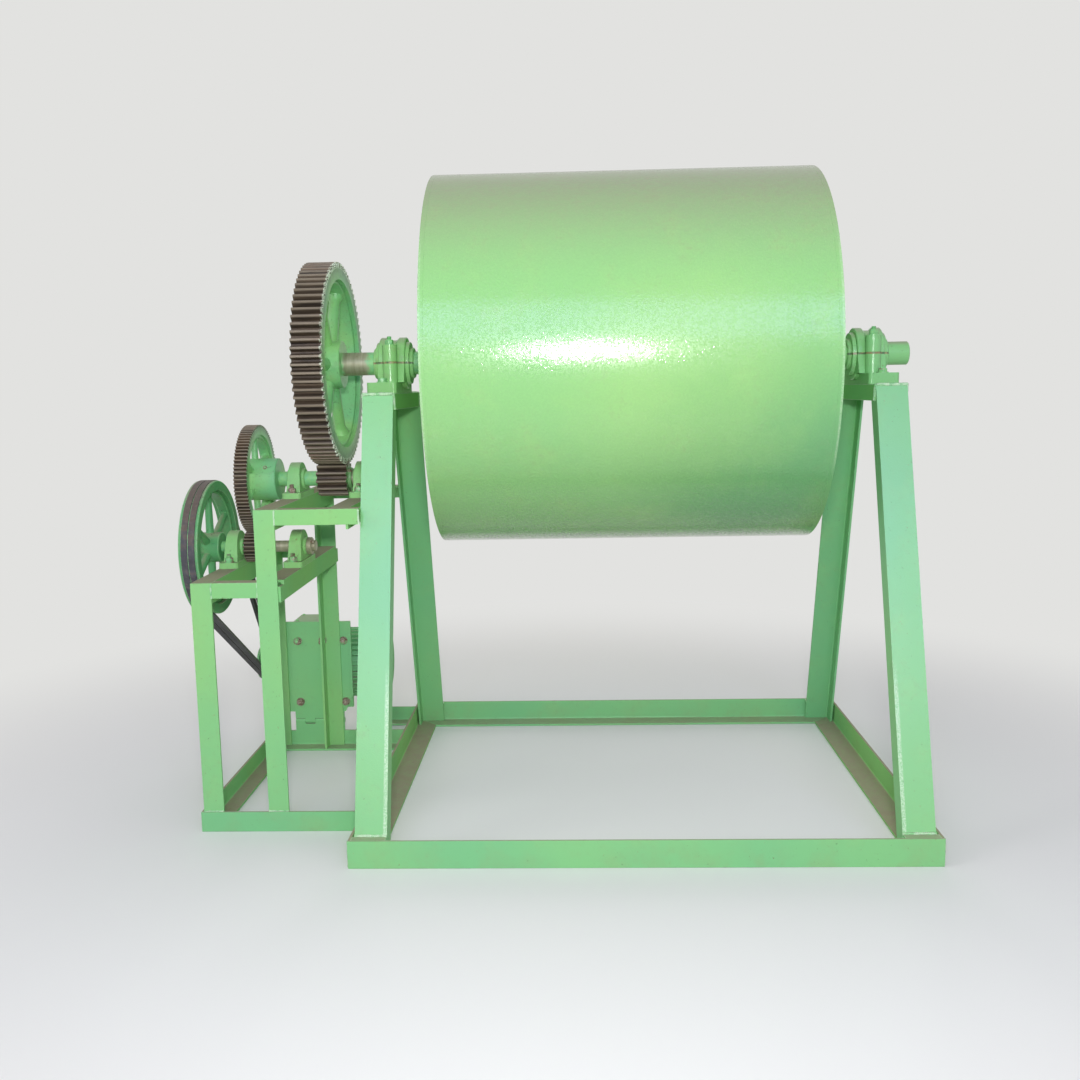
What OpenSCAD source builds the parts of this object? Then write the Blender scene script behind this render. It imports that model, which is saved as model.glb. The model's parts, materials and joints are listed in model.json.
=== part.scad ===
/* [Main stand] */
// Depth of the base frame
base_depth = 1130; // [1080:5:1200]
// Leg length of the base angle
base_angle = 65; // [60:1:75]
// Thickness of the base and leg angles
angle_wall = 6; // [5:0.5:8]
// Root fillet radius inside every angle
angle_fillet = 5; // [3:0.5:7]
// Face width of the leg angle
leg_face = 75; // [70:1:85]
// Side flange of the leg angle
leg_side = 50; // [40:1:60]
// Distance of the legs from the root fillet of the base's side rails
leg_gap = 0.5; // [0.3:0.1:4]
// Half distance between the leg fronts at the top
leg_top_half = 225; // [210:1:260]
// Height of the leg tops and of the bearing seats
seat_height = 1072; // [1050:2:1120]
// Gap between a leg foot and the root fillet of the base rail
leg_foot_gap = 0.5; // [0.3:0.1:3]
// Depth of the seat channel's flanges
seat_flange = 40; // [30:1:50]
// Web thickness of the seat channel
seat_web = 7; // [5:0.5:10]

/* [Drum] */
// Outer diameter of the drum shell
drum_diameter = 940; // [900:5:960]
// Length over the two end plates
drum_length = 940; // [900:5:960]
// Thickness of the shell
shell_wall = 12; // [8:1:16]
// Thickness of the end plates
end_plate = 12; // [10:1:20]
// Gap between the left hub and its bearing
left_gap = 29.5; // [10:0.5:40]
// Gap between the right hub and its bearing
right_gap = 62.5; // [30:0.5:80]
// Height of the drum axis above the bearing seat
axis_rise = 78; // [74:1:84]
// Diameter of the main shaft
shaft_diameter = 60; // [50:1:64]
// Diameter of the hubs welded to the drum ends
hub_diameter = 118; // [100:2:140]
// Length of the drum hubs
hub_length = 46; // [36:1:54]
// Diameter of the flange between each hub and its end plate
hub_flange = 290; // [240:10:340]
// Thickness of that flange
hub_flange_thickness = 14; // [10:1:18]
// Bolts that hold each flange
flange_bolts = 8; // [6:1:12]
// Diameter of the holes for those bolts
flange_hole = 17; // [14:1:20]
// Length of the free shaft end beyond the right side of the base
stub_reach = 50; // [40:1:70]
// Edge bevel of shafts, hubs and bearing barrels
bevel = 2; // [1:0.5:3]

/* [Charging opening] */
// Bore of the charging neck
neck_bore = 260; // [200:5:300]
// Wall of the charging neck
neck_wall = 10; // [8:1:14]
// Reach of the neck beyond the shell
neck_reach = 26; // [20:1:34]
// Width of the flange round the neck
neck_flange = 32; // [28:1:40]
// Thickness of the neck flange
flange_thickness = 8; // [6:1:12]
// Thickness of the charging cover
cover_thickness = 12; // [10:1:16]
// Bolts that hold the charging cover
cover_bolts = 8; // [6:1:12]
// Hole diameter of the cover bolts
cover_hole = 13; // [11:1:15]
// Width of each lifting handle on the cover
handle_width = 110; // [90:5:130]
// Height of the handles above the cover
handle_reach = 30; // [26:1:36]
// Diameter of the handle rod
handle_rod = 12; // [10:1:14]

/* [Main bearings] */
// Shift of the bearing body from the leg towards the drum
body_inset = 9.5; // [8:0.5:12]
// Shift of the bearing foot from the leg away from the drum
foot_outset = 6.5; // [0:0.5:8]
// Length of the bearing barrel along the shaft
barrel_length = 104; // [96:2:108]
// Radius of the barrel
barrel_radius = 67; // [64:1:70]
// Length of the full barrel between its stepped ends
barrel_middle = 68; // [60:1:74]
// Radius of the barrel's end rings
ring_radius = 54; // [50:1:58]
// Length of each end ring
ring_length = 9; // [6:1:10]
// Radius of the collars that end the barrel
collar_radius = 40; // [38:1:44]
// Depth of the groove round the barrel's middle
groove_depth = 7; // [4:1:9]
// Width of that groove
groove_width = 30; // [24:1:36]
// Width of the bearing foot along the shaft
foot_width = 76; // [70:1:82]
// Half length of the bearing foot
foot_half = 135; // [130:1:150]
// Thickness of the bearing foot
foot_thickness = 28; // [22:1:30]
// Corner radius of the bearing foot
foot_corner = 9; // [6:1:14]
// Distance of the cap bolts from the shaft
cap_bolt_reach = 85; // [83:1:90]
// Diameter of the cap bolt bosses
cap_boss = 38; // [34:1:42]
// Height of the cap bolt bosses above the split
boss_rise = 45; // [40:1:50]
// Thickness of the web from each boss to the barrel
boss_web = 22; // [18:1:26]
// Distance of the foot bolts from the shaft
foot_bolt_reach = 118; // [114:1:122]
// Length of the slots for the foot bolts
foot_slot = 22; // [18:1:26]
// Width of those slots
foot_slot_width = 14; // [12:1:16]
// Diameter of the oil holes in all bearings
oil_hole = 8; // [6:1:10]

/* [Gears] */
// Module of the bull gear and its pinion
bull_module = 6.35; // [6:0.05:6.5]
// Teeth of the bull gear
bull_teeth = 81; // [79:1:83]
// Teeth of the bull pinion
pinion_teeth = 13; // [12:1:14]
// Distance of the bull gear's outer face from the base end
bull_reach = 155; // [153:1:158]
// Face width of the bull gear
bull_face = 76; // [72:1:78]
// Face width of the bull pinion
pinion_face = 80; // [78:1:82]
// Extra centre distance that gives the bull mesh its play
bull_play = 2.5; // [2:0.1:3.5]
// Rim thickness of the bull gear under its teeth
bull_rim = 30; // [24:1:34]
// Hub diameter of the bull gear
bull_hub = 124; // [110:2:134]
// Radius of the bull gear's arms at the hub
bull_arm = 18; // [14:1:20]
// Turn of the bull gear's arms
bull_arm_turn = 30; // [0:5:55]
// Width of the bead inside the bull gear's rim
bull_bead = 54; // [44:2:60]
// Module of the second gear pair
fine_module = 3.175; // [3:0.025:3.3]
// Teeth of the second gear
second_teeth = 90; // [88:1:92]
// Teeth of the small pinion
small_teeth = 24; // [22:1:25]
// Distance of the second gear's outer face from the base end
second_reach = 347; // [344:1:350]
// Face width of the second gear
second_face = 34; // [30:1:38]
// Face width of the small pinion
small_face = 40; // [38:1:44]
// Extra centre distance of the second mesh
fine_play = 0.8; // [0.6:0.1:1.2]
// Rim thickness of the second gear under its teeth
second_rim = 20; // [16:1:24]
// Hub diameter of the second gear
second_hub = 112; // [100:2:116]
// Length of the second gear's hub
second_hub_length = 83; // [70:1:88]
// Radius of the second gear's arms at the hub
second_arm = 10; // [8:1:12]
// Width of the bead inside the second gear's rim
second_bead = 26; // [22:1:30]
// Diameter of the collars beside both pinions
pinion_collar = 56; // [50:1:60]
// Length of those collars
collar_length = 10; // [6:1:12]
// Pressure angle of all teeth
pressure_angle = 20; // [20:0.5:22]
// Arms of each gear and of the belt pulley
arm_count = 6; // [5:1:6]
// Thickness of the bead inside each rim
bead_height = 8; // [6:1:12]
// Radius of an arm at the rim, as a share of its radius at the hub
arm_taper = 0.8; // [0.7:0.05:0.95]

/* [Drive stand] */
// Leg length of the post and base angles of the drive stand
post_angle = 50; // [46:1:54]
// Leg length of the short top rails
rail_angle = 38; // [35:1:42]
// Thickness of the drive stand angles
post_wall = 6; // [5:0.5:7]
// Distance from the base front to the drive stand front
drive_front = 218; // [210:1:225]
// Depth of the drive stand
drive_depth = 666; // [650:2:680]
// Reach of the drive stand to the left of the base
drive_reach = 411; // [408:1:416]
// Left side of the inner posts, from the base end
inner_post = 242; // [238:1:246]
// Left side of the right upper beam, from the base end
right_beam = 65; // [62:1:68]
// Length of the tie that runs on from the back base rail
tie_length = 150; // [120:5:160]

/* [Countershafts] */
// Diameter of the upper countershaft
upper_shaft_diameter = 40; // [36:1:44]
// Diameter of the lower countershaft
lower_shaft_diameter = 30; // [28:1:34]
// Height of the countershaft centres above their seats
block_rise = 47; // [45:1:50]
// Offset of the lower countershaft towards the front
lower_shift = 45; // [40:1:50]
// Width of a pillow block along the shaft, at its foot
block_width = 38; // [34:1:42]
// Width of a pillow block at its top
block_crown = 28; // [24:1:32]
// Radius of the pillow block's round top
block_radius = 44; // [42:1:46]
// Width of the pillow block's foot along the shaft
block_foot = 50; // [46:1:54]
// Half length of the pillow block's foot
block_half = 80; // [76:1:86]
// Thickness of the pillow block's foot
block_sole = 15; // [12:1:17]
// Spread of the pillow block at its foot, each side of the shaft
block_spread = 56; // [52:1:60]
// Distance of the pillow block's bolts from the shaft
block_bolt_reach = 67; // [65:1:70]
// Diameter of the pillow block's bolt holes
block_hole = 14; // [12:1:15]
// Length of the bush that shows at both sides of a pillow block
bush_length = 46; // [44:1:48]
// Wall of that bush
bush_wall = 8; // [6:1:10]
// Reach of the upper countershaft past its right block
upper_overhang = 10; // [4:1:14]
// Reach of the lower countershaft past its right block
lower_overhang = 24; // [20:1:30]
// Diameter of the set collar on the lower countershaft
set_collar = 46; // [40:1:50]
// Length of that collar
set_collar_length = 14; // [12:1:16]

/* [Belt drive] */
// Distance of the belt pulley's middle from the base end
pulley_reach = 449; // [447:1:452]
// Outside diameter of the belt pulley
pulley_diameter = 356; // [340:2:360]
// Width of both pulleys
pulley_width = 50; // [48:1:54]
// Rim thickness of the belt pulley
pulley_rim = 26; // [22:1:30]
// Hub diameter of the belt pulley
pulley_hub = 80; // [70:2:90]
// Reach of that hub past the rim, towards the stand
pulley_hub_reach = 8; // [4:1:10]
// Radius of the belt pulley's arms at the hub
pulley_arm = 11; // [9:1:14]
// Width of the bead inside the belt pulley's rim
pulley_bead = 28; // [24:1:34]
// Outside diameter of the motor pulley
motor_pulley_diameter = 100; // [90:1:110]
// Distance between the two belt grooves
groove_pitch = 18.5; // [18:0.5:20]
// Top width of a belt
belt_width = 16; // [15:0.5:17]
// Bottom width of a belt
belt_base = 10; // [9:0.5:11]
// Depth of a belt
belt_depth = 11; // [10:0.5:12]
// Height of a belt's back above the pulley's edge
belt_rise = 1.5; // [0.5:0.5:2]
// Gap between belt and groove
belt_gap = 0.6; // [0.4:0.1:1]

/* [Motor] */
// Height of the motor axis above its feet
motor_height = 112; // [110:1:114]
// Radius of the motor over the fins
motor_radius = 108; // [104:1:109]
// Depth of the fins
fin_depth = 13; // [8:1:16]
// Thickness of a fin
fin_wall = 4; // [3:0.5:5]
// Number of fins
fin_count = 36; // [28:4:40]
// Length of the motor from its shaft shoulder to the end of the fan cowl
motor_length = 325; // [300:5:330]
// Length of the fan cowl
cowl_length = 78; // [60:1:90]
// Thickness of the end shields
shield = 16; // [12:1:20]
// Diameter of the motor shaft
motor_shaft = 28; // [26:1:30]
// Gap between the motor pulley and the motor's shaft shoulder
pulley_gap = 32; // [26:1:40]
// Distance from the shaft shoulder to the first foot bolts
foot_start = 70; // [68:1:72]
// Height of the motor axis above the floor
motor_axis = 236; // [230:1:245]
// Distance between the foot bolts across the motor
motor_gauge = 190; // [180:1:200]
// Distance between the foot bolts along the motor
motor_pitch = 140; // [130:1:150]
// Thickness of the motor's feet
foot_plate = 12; // [10:1:14]
// Side of the square shoe round each foot bolt
foot_shoe = 40; // [34:1:46]
// Diameter of the foot bolt holes
foot_hole = 12; // [10:1:14]
// Slots in the end of the fan cowl
grille_slots = 20; // [12:2:28]
// Distance from the motor axis to the start of those slots
grille_start = 30; // [24:1:40]
// Depth of the slots
grille_depth = 5; // [3:1:8]
// Distance of the terminal box from the front end shield
box_shift = 30; // [20:1:50]
// Width of the terminal box
box_width = 96; // [80:2:110]
// Height of the terminal box above the fins
box_height = 34; // [28:1:40]
// Thickness of the lid of that box
box_lid = 8; // [6:1:12]
// Overhang of the lid
lid_edge = 3; // [2:0.5:5]

/* [Motor plate] */
// Distance of the plate's right edge from the base end
plate_right = 160; // [158:1:175]
// Gap between the plate's left edge and the side of the outer post
plate_left_gap = 6; // [4:1:10]
// Height of the plate's lower edge above the floor
plate_low = 110; // [104:1:116]
// Height of the plate's upper edge above the floor
plate_high = 390; // [380:2:400]
// Thickness of the motor plate
plate_thickness = 8; // [6:0.5:10]
// Width of the cut corner at the lower right
notch_width = 24; // [16:1:30]
// Height of that cut corner
notch_height = 50; // [40:1:60]
// Distance of the hinge's right end from the base end
hinge_right = 190; // [182:1:210]
// Length of the hinge under the plate
hinge_length = 150; // [130:5:160]
// Diameter of the hinge barrel
hinge_barrel = 18; // [16:1:20]
// Diameter of the hinge pin
hinge_pin = 8; // [6:1:10]
// Knuckles of the hinge
hinge_knuckles = 5; // [3:2:7]

/* [Hidden] */
$fn = 96;
hole_facets = 48;

paint = "MediumSeaGreen";
worn_steel = "DimGray";
bare_steel = "Gray";
belt_rubber = "DarkSlateGray";

running_gap = 0.08;
fit_gap = 0.3;
hub_weld = 8;
rib_turn = 30;
overlap = 0.2;
tooth_points = 3;
degrees_per_radian = 180 / PI;

drum_radius = drum_diameter / 2;
axis_height = seat_height + axis_rise;
axis_depth = base_depth / 2;
shaft_radius = shaft_diameter / 2;

leg_inset = angle_wall + angle_fillet + leg_gap;
leg_top = axis_depth - leg_top_half;
leg_foot = angle_wall + angle_fillet + leg_foot_gap;
leg_lean = atan((leg_top - leg_foot) / (seat_height - angle_wall));
leg_middle = leg_inset + leg_face / 2;
body_middle = leg_middle + body_inset;
foot_middle = leg_middle - foot_outset;
bearing_stop = body_middle + barrel_length / 2;
hub_left_start = bearing_stop + left_gap;
drum_start = hub_left_start + hub_length;
drum_stop = drum_start + drum_length;
base_length = drum_stop + hub_length + right_gap + bearing_stop;

bull_start = -bull_reach;
pinion_start = bull_start - (pinion_face - bull_face) / 2;
second_start = -second_reach;
small_start = second_start - (small_face - second_face) / 2;
pulley_middle = -pulley_reach;
bull_pitch = bull_module * bull_teeth / 2;
pinion_pitch = bull_module * pinion_teeth / 2;
second_pitch = fine_module * second_teeth / 2;
small_pitch = fine_module * small_teeth / 2;
root_depth = 1.25;
bull_centres = bull_pitch + pinion_pitch + bull_play;
fine_centres = second_pitch + small_pitch + fine_play;

upper_axis = axis_height - bull_centres;
upper_seat = upper_axis - block_rise;
lower_depth = axis_depth - lower_shift;
lower_drop = sqrt(fine_centres * fine_centres - lower_shift * lower_shift);
lower_axis = upper_axis - lower_drop;
lower_seat = lower_axis - block_rise;
fine_turn = atan2(-lower_drop, -lower_shift);

drive_back = drive_front + drive_depth;
outer_post = drive_reach - post_wall;
post_back = drive_back - post_wall;
lower_beams = [-outer_post, post_wall - inner_post];
upper_beams = [-inner_post, -right_beam];

hinge_start = -hinge_right - hinge_length;
hinge_height = (post_angle + plate_low) / 2;
plate_face = post_back;
hinge_depth = plate_face + hinge_barrel / 2;
knuckle = hinge_length / hinge_knuckles;
motor_foot = plate_face + plate_thickness;
motor_depth = motor_foot + motor_height;
shaft_shoulder = pulley_middle + pulley_width / 2 + pulley_gap;
belt_radius = pulley_diameter / 2 + belt_rise;
motor_belt_radius = motor_pulley_diameter / 2 + belt_rise;

mid_x = (pulley_middle - pulley_width / 2 + base_length + stub_reach) / 2;

// Every piece is drawn from the lower left front corner of the base and moved by this
module placed() {
    translate([-mid_x, -axis_depth, 0]) children();
}

// Extrudes an outline drawn in depth and height along the drum axis
module along_x(start, length) {
    translate([start, 0, 0]) rotate([90, 0, 90]) linear_extrude(length) children();
}

// Turns a profile of points [distance along X, radius] about the X axis
module turned(points) {
    rotate([90, 0, 90]) rotate_extrude() polygon([for (point = points) [point[1], point[0]]]);
}

// Bar about the X axis with a bevel at both ends
function bar(start, stop, radius) = [
    [start, 0], [start, radius - bevel], [start + bevel, radius],
    [stop - bevel, radius], [stop, radius - bevel], [stop, 0]];

// Sleeve about the X axis with a bevel on its outer edges
function sleeve(start, stop, outer, inner) = [
    [start, inner], [start, outer - bevel], [start + bevel, outer],
    [stop - bevel, outer], [stop, outer - bevel], [stop, inner]];

// L profile with its corner at the origin, a root fillet and both legs positive
module angle_profile(width, height, wall) {
    root = wall + angle_fillet;
    difference() {
        square([width, height]);
        translate([root, wall]) square([width, height]);
        translate([wall, root]) square([width, height]);
        translate([root, root]) circle(angle_fillet, $fn = hole_facets);
    }
}

// Angle along X with a floor flange to the back and an upright flange in front
module rail_x(length, size, wall) {
    along_x(0, length) angle_profile(size, size, wall);
}

// Angle along Y with a floor flange to the right and an upright flange on the left
module rail_y(length, size, wall) {
    translate([0, length, 0]) rotate([90, 0, 0]) linear_extrude(length) angle_profile(size, size, wall);
}

module to_back() {
    translate([0, base_depth, 0]) mirror([0, 1, 0]) children();
}

module to_right() {
    translate([base_length, 0, 0]) mirror([1, 0, 0]) children();
}

// Base rail along X with its floor flange mitred at both ends
module front_rail() {
    intersection() {
        rail_x(base_length, base_angle, angle_wall);
        union() {
            cube([base_length, angle_wall, base_angle]);
            linear_extrude(base_angle) polygon([[angle_wall, angle_wall], [base_angle, base_angle],
                [base_length - base_angle, base_angle], [base_length - angle_wall, angle_wall]]);
        }
    }
}

module base_rail_front() {
    color(paint) placed() front_rail();
}

module base_rail_back() {
    color(paint) placed() to_back() front_rail();
}

// Rail along Y between two upright flanges, its floor flange mitred at both ends
module side_rail(length, size, wall) {
    intersection() {
        rail_y(length, size, wall);
        union() {
            translate([0, wall, 0]) cube([wall, length - 2 * wall, size]);
            linear_extrude(size) polygon([[wall, wall], [size, size], [size, length - size],
                [wall, length - wall]]);
        }
    }
}

module base_rail_left() {
    color(paint) placed() side_rail(base_depth, base_angle, angle_wall);
}

module base_rail_right() {
    color(paint) placed() to_right() side_rail(base_depth, base_angle, angle_wall);
}

// Places a piece drawn upright so that it leans back from the foot of a leg
module leaning() {
    translate([leg_inset, leg_foot, angle_wall]) rotate([-leg_lean, 0, 0]) children();
}

// Level slice of the leaning piece between two heights
module level_cut(low, high) {
    intersection() {
        leaning() children();
        translate([0, 0, low]) cube([leg_inset + leg_face, axis_depth, high - low]);
    }
}

// Leg: the side flange stops below the seat channel, the face runs to the top
module leg(side_right) {
    run = seat_height / cos(leg_lean);
    flip = side_right ? 1 : 0;
    level_cut(angle_wall, seat_height - seat_flange)
        translate([flip * leg_face, 0, -leg_face]) linear_extrude(run + leg_face)
            mirror([flip, 0]) angle_profile(leg_face, leg_side, angle_wall);
    level_cut(seat_height - 2 * seat_flange, seat_height) cube([leg_face, angle_wall, run]);
}

module leg_front_left() {
    color(paint) placed() leg(true);
}

module leg_back_left() {
    color(paint) placed() to_back() leg(false);
}

module leg_front_right() {
    color(paint) placed() to_right() leg(true);
}

module leg_back_right() {
    color(paint) placed() to_right() to_back() leg(false);
}

// Small plates that close the gap between the rails and the leaning legs
module foot_plates() {
    reach = leg_foot - angle_wall + (base_angle - 2 * angle_wall) * tan(leg_lean);
    color(paint) placed() for (side = [0, 1], back = [0, 1])
        translate([side * base_length, back * base_depth, 0]) mirror([side, 0, 0]) mirror([0, back, 0])
            translate([angle_wall, angle_wall, base_angle - angle_wall])
                cube([leg_face + leg_inset - angle_wall, reach, angle_wall]);
}

// Channel with its web up, between the leg tops
module seat_beam() {
    face = leg_top + angle_wall / cos(leg_lean);
    length = base_depth - 2 * face;
    inside = leg_face - 2 * angle_wall;
    translate([leg_inset, face, seat_height - seat_flange]) difference() {
        cube([leg_face, length, seat_flange]);
        translate([angle_wall, -1, -1]) cube([inside, length + 2, seat_flange - seat_web + 1]);
    }
}

module seat_beam_left() {
    color(paint) placed() seat_beam();
}

module seat_beam_right() {
    color(paint) placed() to_right() seat_beam();
}

// Barrel of a main bearing about its own middle: full middle, stepped ends, groove round the middle
function barrel_profile() =
    let (stop = barrel_length / 2, middle = barrel_middle / 2, ring = middle + ring_length,
         groove = groove_width / 2, floor = barrel_radius - groove_depth)
    [[-stop, 0], [-stop, collar_radius - bevel], [-stop + bevel, collar_radius],
     [-ring, collar_radius], [-ring, ring_radius], [-middle, ring_radius + bevel],
     [-middle, barrel_radius - bevel], [-middle + bevel, barrel_radius],
     [-groove, barrel_radius], [-groove + groove_depth, floor],
     [groove - groove_depth, floor], [groove, barrel_radius],
     [middle - bevel, barrel_radius], [middle, barrel_radius - bevel],
     [middle, ring_radius + bevel], [ring, ring_radius], [ring, collar_radius],
     [stop - bevel, collar_radius], [stop, collar_radius - bevel], [stop, 0]];

module at_bearing() {
    translate([body_middle, axis_depth, axis_height]) children();
}

module shaft_bore() {
    turned([[-barrel_length, 0], [-barrel_length, shaft_radius + running_gap],
        [barrel_length, shaft_radius + running_gap], [barrel_length, 0]]);
}

// Bolt bosses at both sides of the shaft, each joined to the barrel by a web
module cap_bosses(low, high) {
    for (side = [-1, 1]) {
        translate([0, side * cap_bolt_reach, low]) cylinder(d = cap_boss, h = high - low);
        translate([-boss_web / 2, min(0, side * cap_bolt_reach), low])
            cube([boss_web, cap_bolt_reach, high - low - bevel]);
    }
}

// Foot plate with round corners and a slot at each end for the foot bolts
module bearing_foot() {
    half = [foot_width / 2 - foot_corner, foot_half - foot_corner];
    translate([foot_middle - body_middle, 0, -axis_rise]) linear_extrude(foot_thickness) difference() {
        union() {
            for (side = [-1, 1], end = [-1, 1]) translate([side * half[0], end * half[1]])
                circle(foot_corner, $fn = hole_facets);
            square([foot_width, 2 * half[1]], center = true);
            square([2 * half[0], 2 * foot_half], center = true);
        }
        for (end = [-1, 1]) translate([0, end * foot_bolt_reach]) {
            square([foot_slot - foot_slot_width, foot_slot_width], center = true);
            for (side = [-1, 1]) translate([side * (foot_slot - foot_slot_width) / 2, 0])
                circle(d = foot_slot_width, $fn = hole_facets);
        }
    }
}

// Lower half: half a barrel on a pedestal that spreads towards the foot
module bearing_base() {
    pedestal = barrel_middle / 2;
    shoulder = foot_thickness - axis_rise;
    difference() {
        union() {
            intersection() {
                turned(barrel_profile());
                translate([-barrel_length, -barrel_length, -axis_rise])
                    cube([2 * barrel_length, 2 * barrel_length, axis_rise]);
            }
            along_x(-pedestal, barrel_middle) polygon([[bevel - barrel_radius, 0],
                [barrel_radius - bevel, 0], [cap_bolt_reach, shoulder], [-cap_bolt_reach, shoulder]]);
            bearing_foot();
            cap_bosses(shoulder, 0);
        }
        shaft_bore();
    }
}

// Upper half: half a barrel with the bolt bosses and an oil hole in the groove
module bearing_cap() {
    difference() {
        union() {
            intersection() {
                turned(barrel_profile());
                translate([-barrel_length, -barrel_length, 0])
                    cube([2 * barrel_length, 2 * barrel_length, barrel_length]);
            }
            intersection() {
                cap_bosses(0, boss_rise);
                translate([-cap_boss, -foot_half, 0]) cube([2 * cap_boss, 2 * foot_half, barrel_radius]);
            }
        }
        shaft_bore();
        cylinder(d = oil_hole, h = 2 * barrel_radius);
    }
}

module bearing_base_left() {
    color(paint) placed() at_bearing() bearing_base();
}

module bearing_base_right() {
    color(paint) placed() to_right() at_bearing() bearing_base();
}

module bearing_cap_left() {
    color(paint) placed() at_bearing() bearing_cap();
}

module bearing_cap_right() {
    color(paint) placed() to_right() at_bearing() bearing_cap();
}

module front_and_back() {
    translate([0, drive_front, 0]) children();
    translate([0, drive_back, 0]) mirror([0, 1, 0]) children();
}

// Pair of posts: the faces run up to the seat, the side flanges on their left stop under the beam,
// and the feet are bevelled to clear the root fillets of the floor rails
module posts(left, seat) {
    cut = angle_fillet + fit_gap;
    long = 2 * post_angle;
    color(paint) placed() front_and_back() translate([left, post_wall, post_wall]) difference() {
        union() {
            linear_extrude(seat - 2 * post_wall) angle_profile(post_angle, post_angle, post_wall);
            cube([post_angle, post_wall, seat - post_wall]);
        }
        along_x(-1, long) polygon([[-1, -1], [cut, -1], [cut, 0], [0, cut], [-1, cut]]);
        translate([0, long - 1, 0]) rotate([90, 0, 0]) linear_extrude(long)
            polygon([[-1, -1], [cut, -1], [cut, 0], [0, cut], [-1, cut]]);
    }
}

module outer_posts() {
    posts(-outer_post, lower_seat);
}

module inner_posts() {
    posts(-inner_post, upper_seat);
}

// Floor rail from the main base to the drive stand's left corner, its floor flange mitred there
module drive_base() {
    difference() {
        translate([-drive_reach, 0, 0]) rail_x(drive_reach, post_angle, post_wall);
        translate([-drive_reach, 0, 0]) linear_extrude(post_angle) polygon([[-1, post_wall],
            [post_wall, post_wall], [post_angle + 1, post_angle + 1], [-1, post_angle + 1]]);
    }
}

module drive_base_front() {
    color(paint) placed() translate([0, drive_front, 0]) drive_base();
}

module drive_base_back() {
    color(paint) placed() translate([0, drive_back, 0]) mirror([0, 1, 0]) drive_base();
}

module drive_base_left() {
    color(paint) placed() translate([-drive_reach, drive_front, 0])
        side_rail(drive_depth, post_angle, post_wall);
}

// Pair of top rails beside the posts: upright faces outside, level flanges on top
module top_rails(left, right, seat) {
    color(paint) placed() front_and_back() along_x(left, right - left)
        translate([post_wall, seat]) mirror([0, 1]) angle_profile(rail_angle, rail_angle, post_wall);
}

module lower_rails() {
    top_rails(post_angle - outer_post, -inner_post, lower_seat);
}

module upper_rails() {
    top_rails(post_angle - inner_post, leg_inset, upper_seat);
}

// Beams that carry the pillow blocks: upright flange on the right, level flange on the post
// on the left beam and coped round what it meets on the right one
module bearing_beams(lefts, seat) {
    start = drive_front + 2 * post_wall;
    length = drive_depth - 4 * post_wall;
    cope = [post_angle + 2, rail_angle - post_wall + 1, post_wall + angle_fillet + fit_gap + 1];
    color(paint) placed() for (k = [0, 1]) translate([lefts[k] + post_angle, start, seat]) difference() {
        mirror([1, 0, 0]) mirror([0, 0, 1]) rail_y(length, post_angle, post_wall);
        if (k == 1) for (end = [-1, length + 1 - cope[1]])
            translate([1 - cope[0], end, 1 - cope[2]]) cube(cope);
    }
}

module lower_bearing_beams() {
    bearing_beams(lower_beams, lower_seat);
}

module upper_bearing_beams() {
    bearing_beams(upper_beams, upper_seat);
}

// Side view of a pillow block: round top on a spreading base
module pillow_outline() {
    translate([0, block_rise]) circle(block_radius);
    lean = acos(block_radius / norm([block_spread, block_rise - block_sole]))
        - atan2(block_rise - block_sole, block_spread);
    touch = [block_radius * cos(lean), block_rise + block_radius * sin(lean)];
    polygon([[-block_spread, block_sole - bevel], [block_spread, block_sole - bevel],
        [block_spread, block_sole], touch, [-touch[0], touch[1]], [-block_spread, block_sole]]);
}

// One-piece pillow block that narrows upwards, with its bush and an oil hole in the crown
module pillow_block(shaft) {
    crown = block_rise + block_radius;
    corner = foot_corner;
    difference() {
        union() {
            intersection() {
                along_x(-block_width / 2, block_width) pillow_outline();
                translate([0, block_half, 0]) rotate([90, 0, 0]) linear_extrude(2 * block_half)
                    polygon([[-block_width / 2, 0], [block_width / 2, 0], [block_crown / 2, crown],
                        [-block_crown / 2, crown]]);
            }
            linear_extrude(block_sole) {
                square([block_foot - 2 * corner, 2 * block_half], center = true);
                square([block_foot, 2 * (block_half - corner)], center = true);
                for (side = [-1, 1], end = [-1, 1])
                    translate([side * (block_foot / 2 - corner), end * (block_half - corner)])
                        circle(corner, $fn = hole_facets);
            }
            translate([0, 0, block_rise]) turned(sleeve(-bush_length / 2, bush_length / 2,
                shaft / 2 + bush_wall, shaft / 2));
        }
        translate([0, 0, block_rise]) turned([[-block_foot, 0], [-block_foot, shaft / 2 + running_gap],
            [block_foot, shaft / 2 + running_gap], [block_foot, 0]]);
        translate([0, 0, block_rise]) cylinder(d = oil_hole, h = crown);
        for (end = [-1, 1]) translate([0, end * block_bolt_reach, -1])
            cylinder(d = block_hole, h = block_sole + 2, $fn = hole_facets);
    }
}

module lower_blocks() {
    color(paint) placed() for (left = lower_beams)
        translate([left + post_angle / 2, lower_depth, lower_seat])
            pillow_block(lower_shaft_diameter);
}

module upper_blocks() {
    color(paint) placed() for (left = upper_beams)
        translate([left + post_angle / 2, axis_depth, upper_seat])
            pillow_block(upper_shaft_diameter);
}

// Piece of angle that runs on in line with the back base rail
module back_tie() {
    color(paint) placed() translate([-tie_length, 0, 0]) to_back()
        rail_x(tie_length, post_angle, post_wall);
}

// Knuckles of the hinge under the motor plate, each on a lug between two heights
module knuckles(first, low, high) {
    for (k = [first:2:hinge_knuckles - 1])
        along_x(hinge_start + k * knuckle, knuckle - fit_gap) {
            translate([hinge_depth, hinge_height]) circle(d = hinge_barrel, $fn = hole_facets);
            translate([plate_face, low]) square([plate_thickness, high - low]);
        }
}

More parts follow.
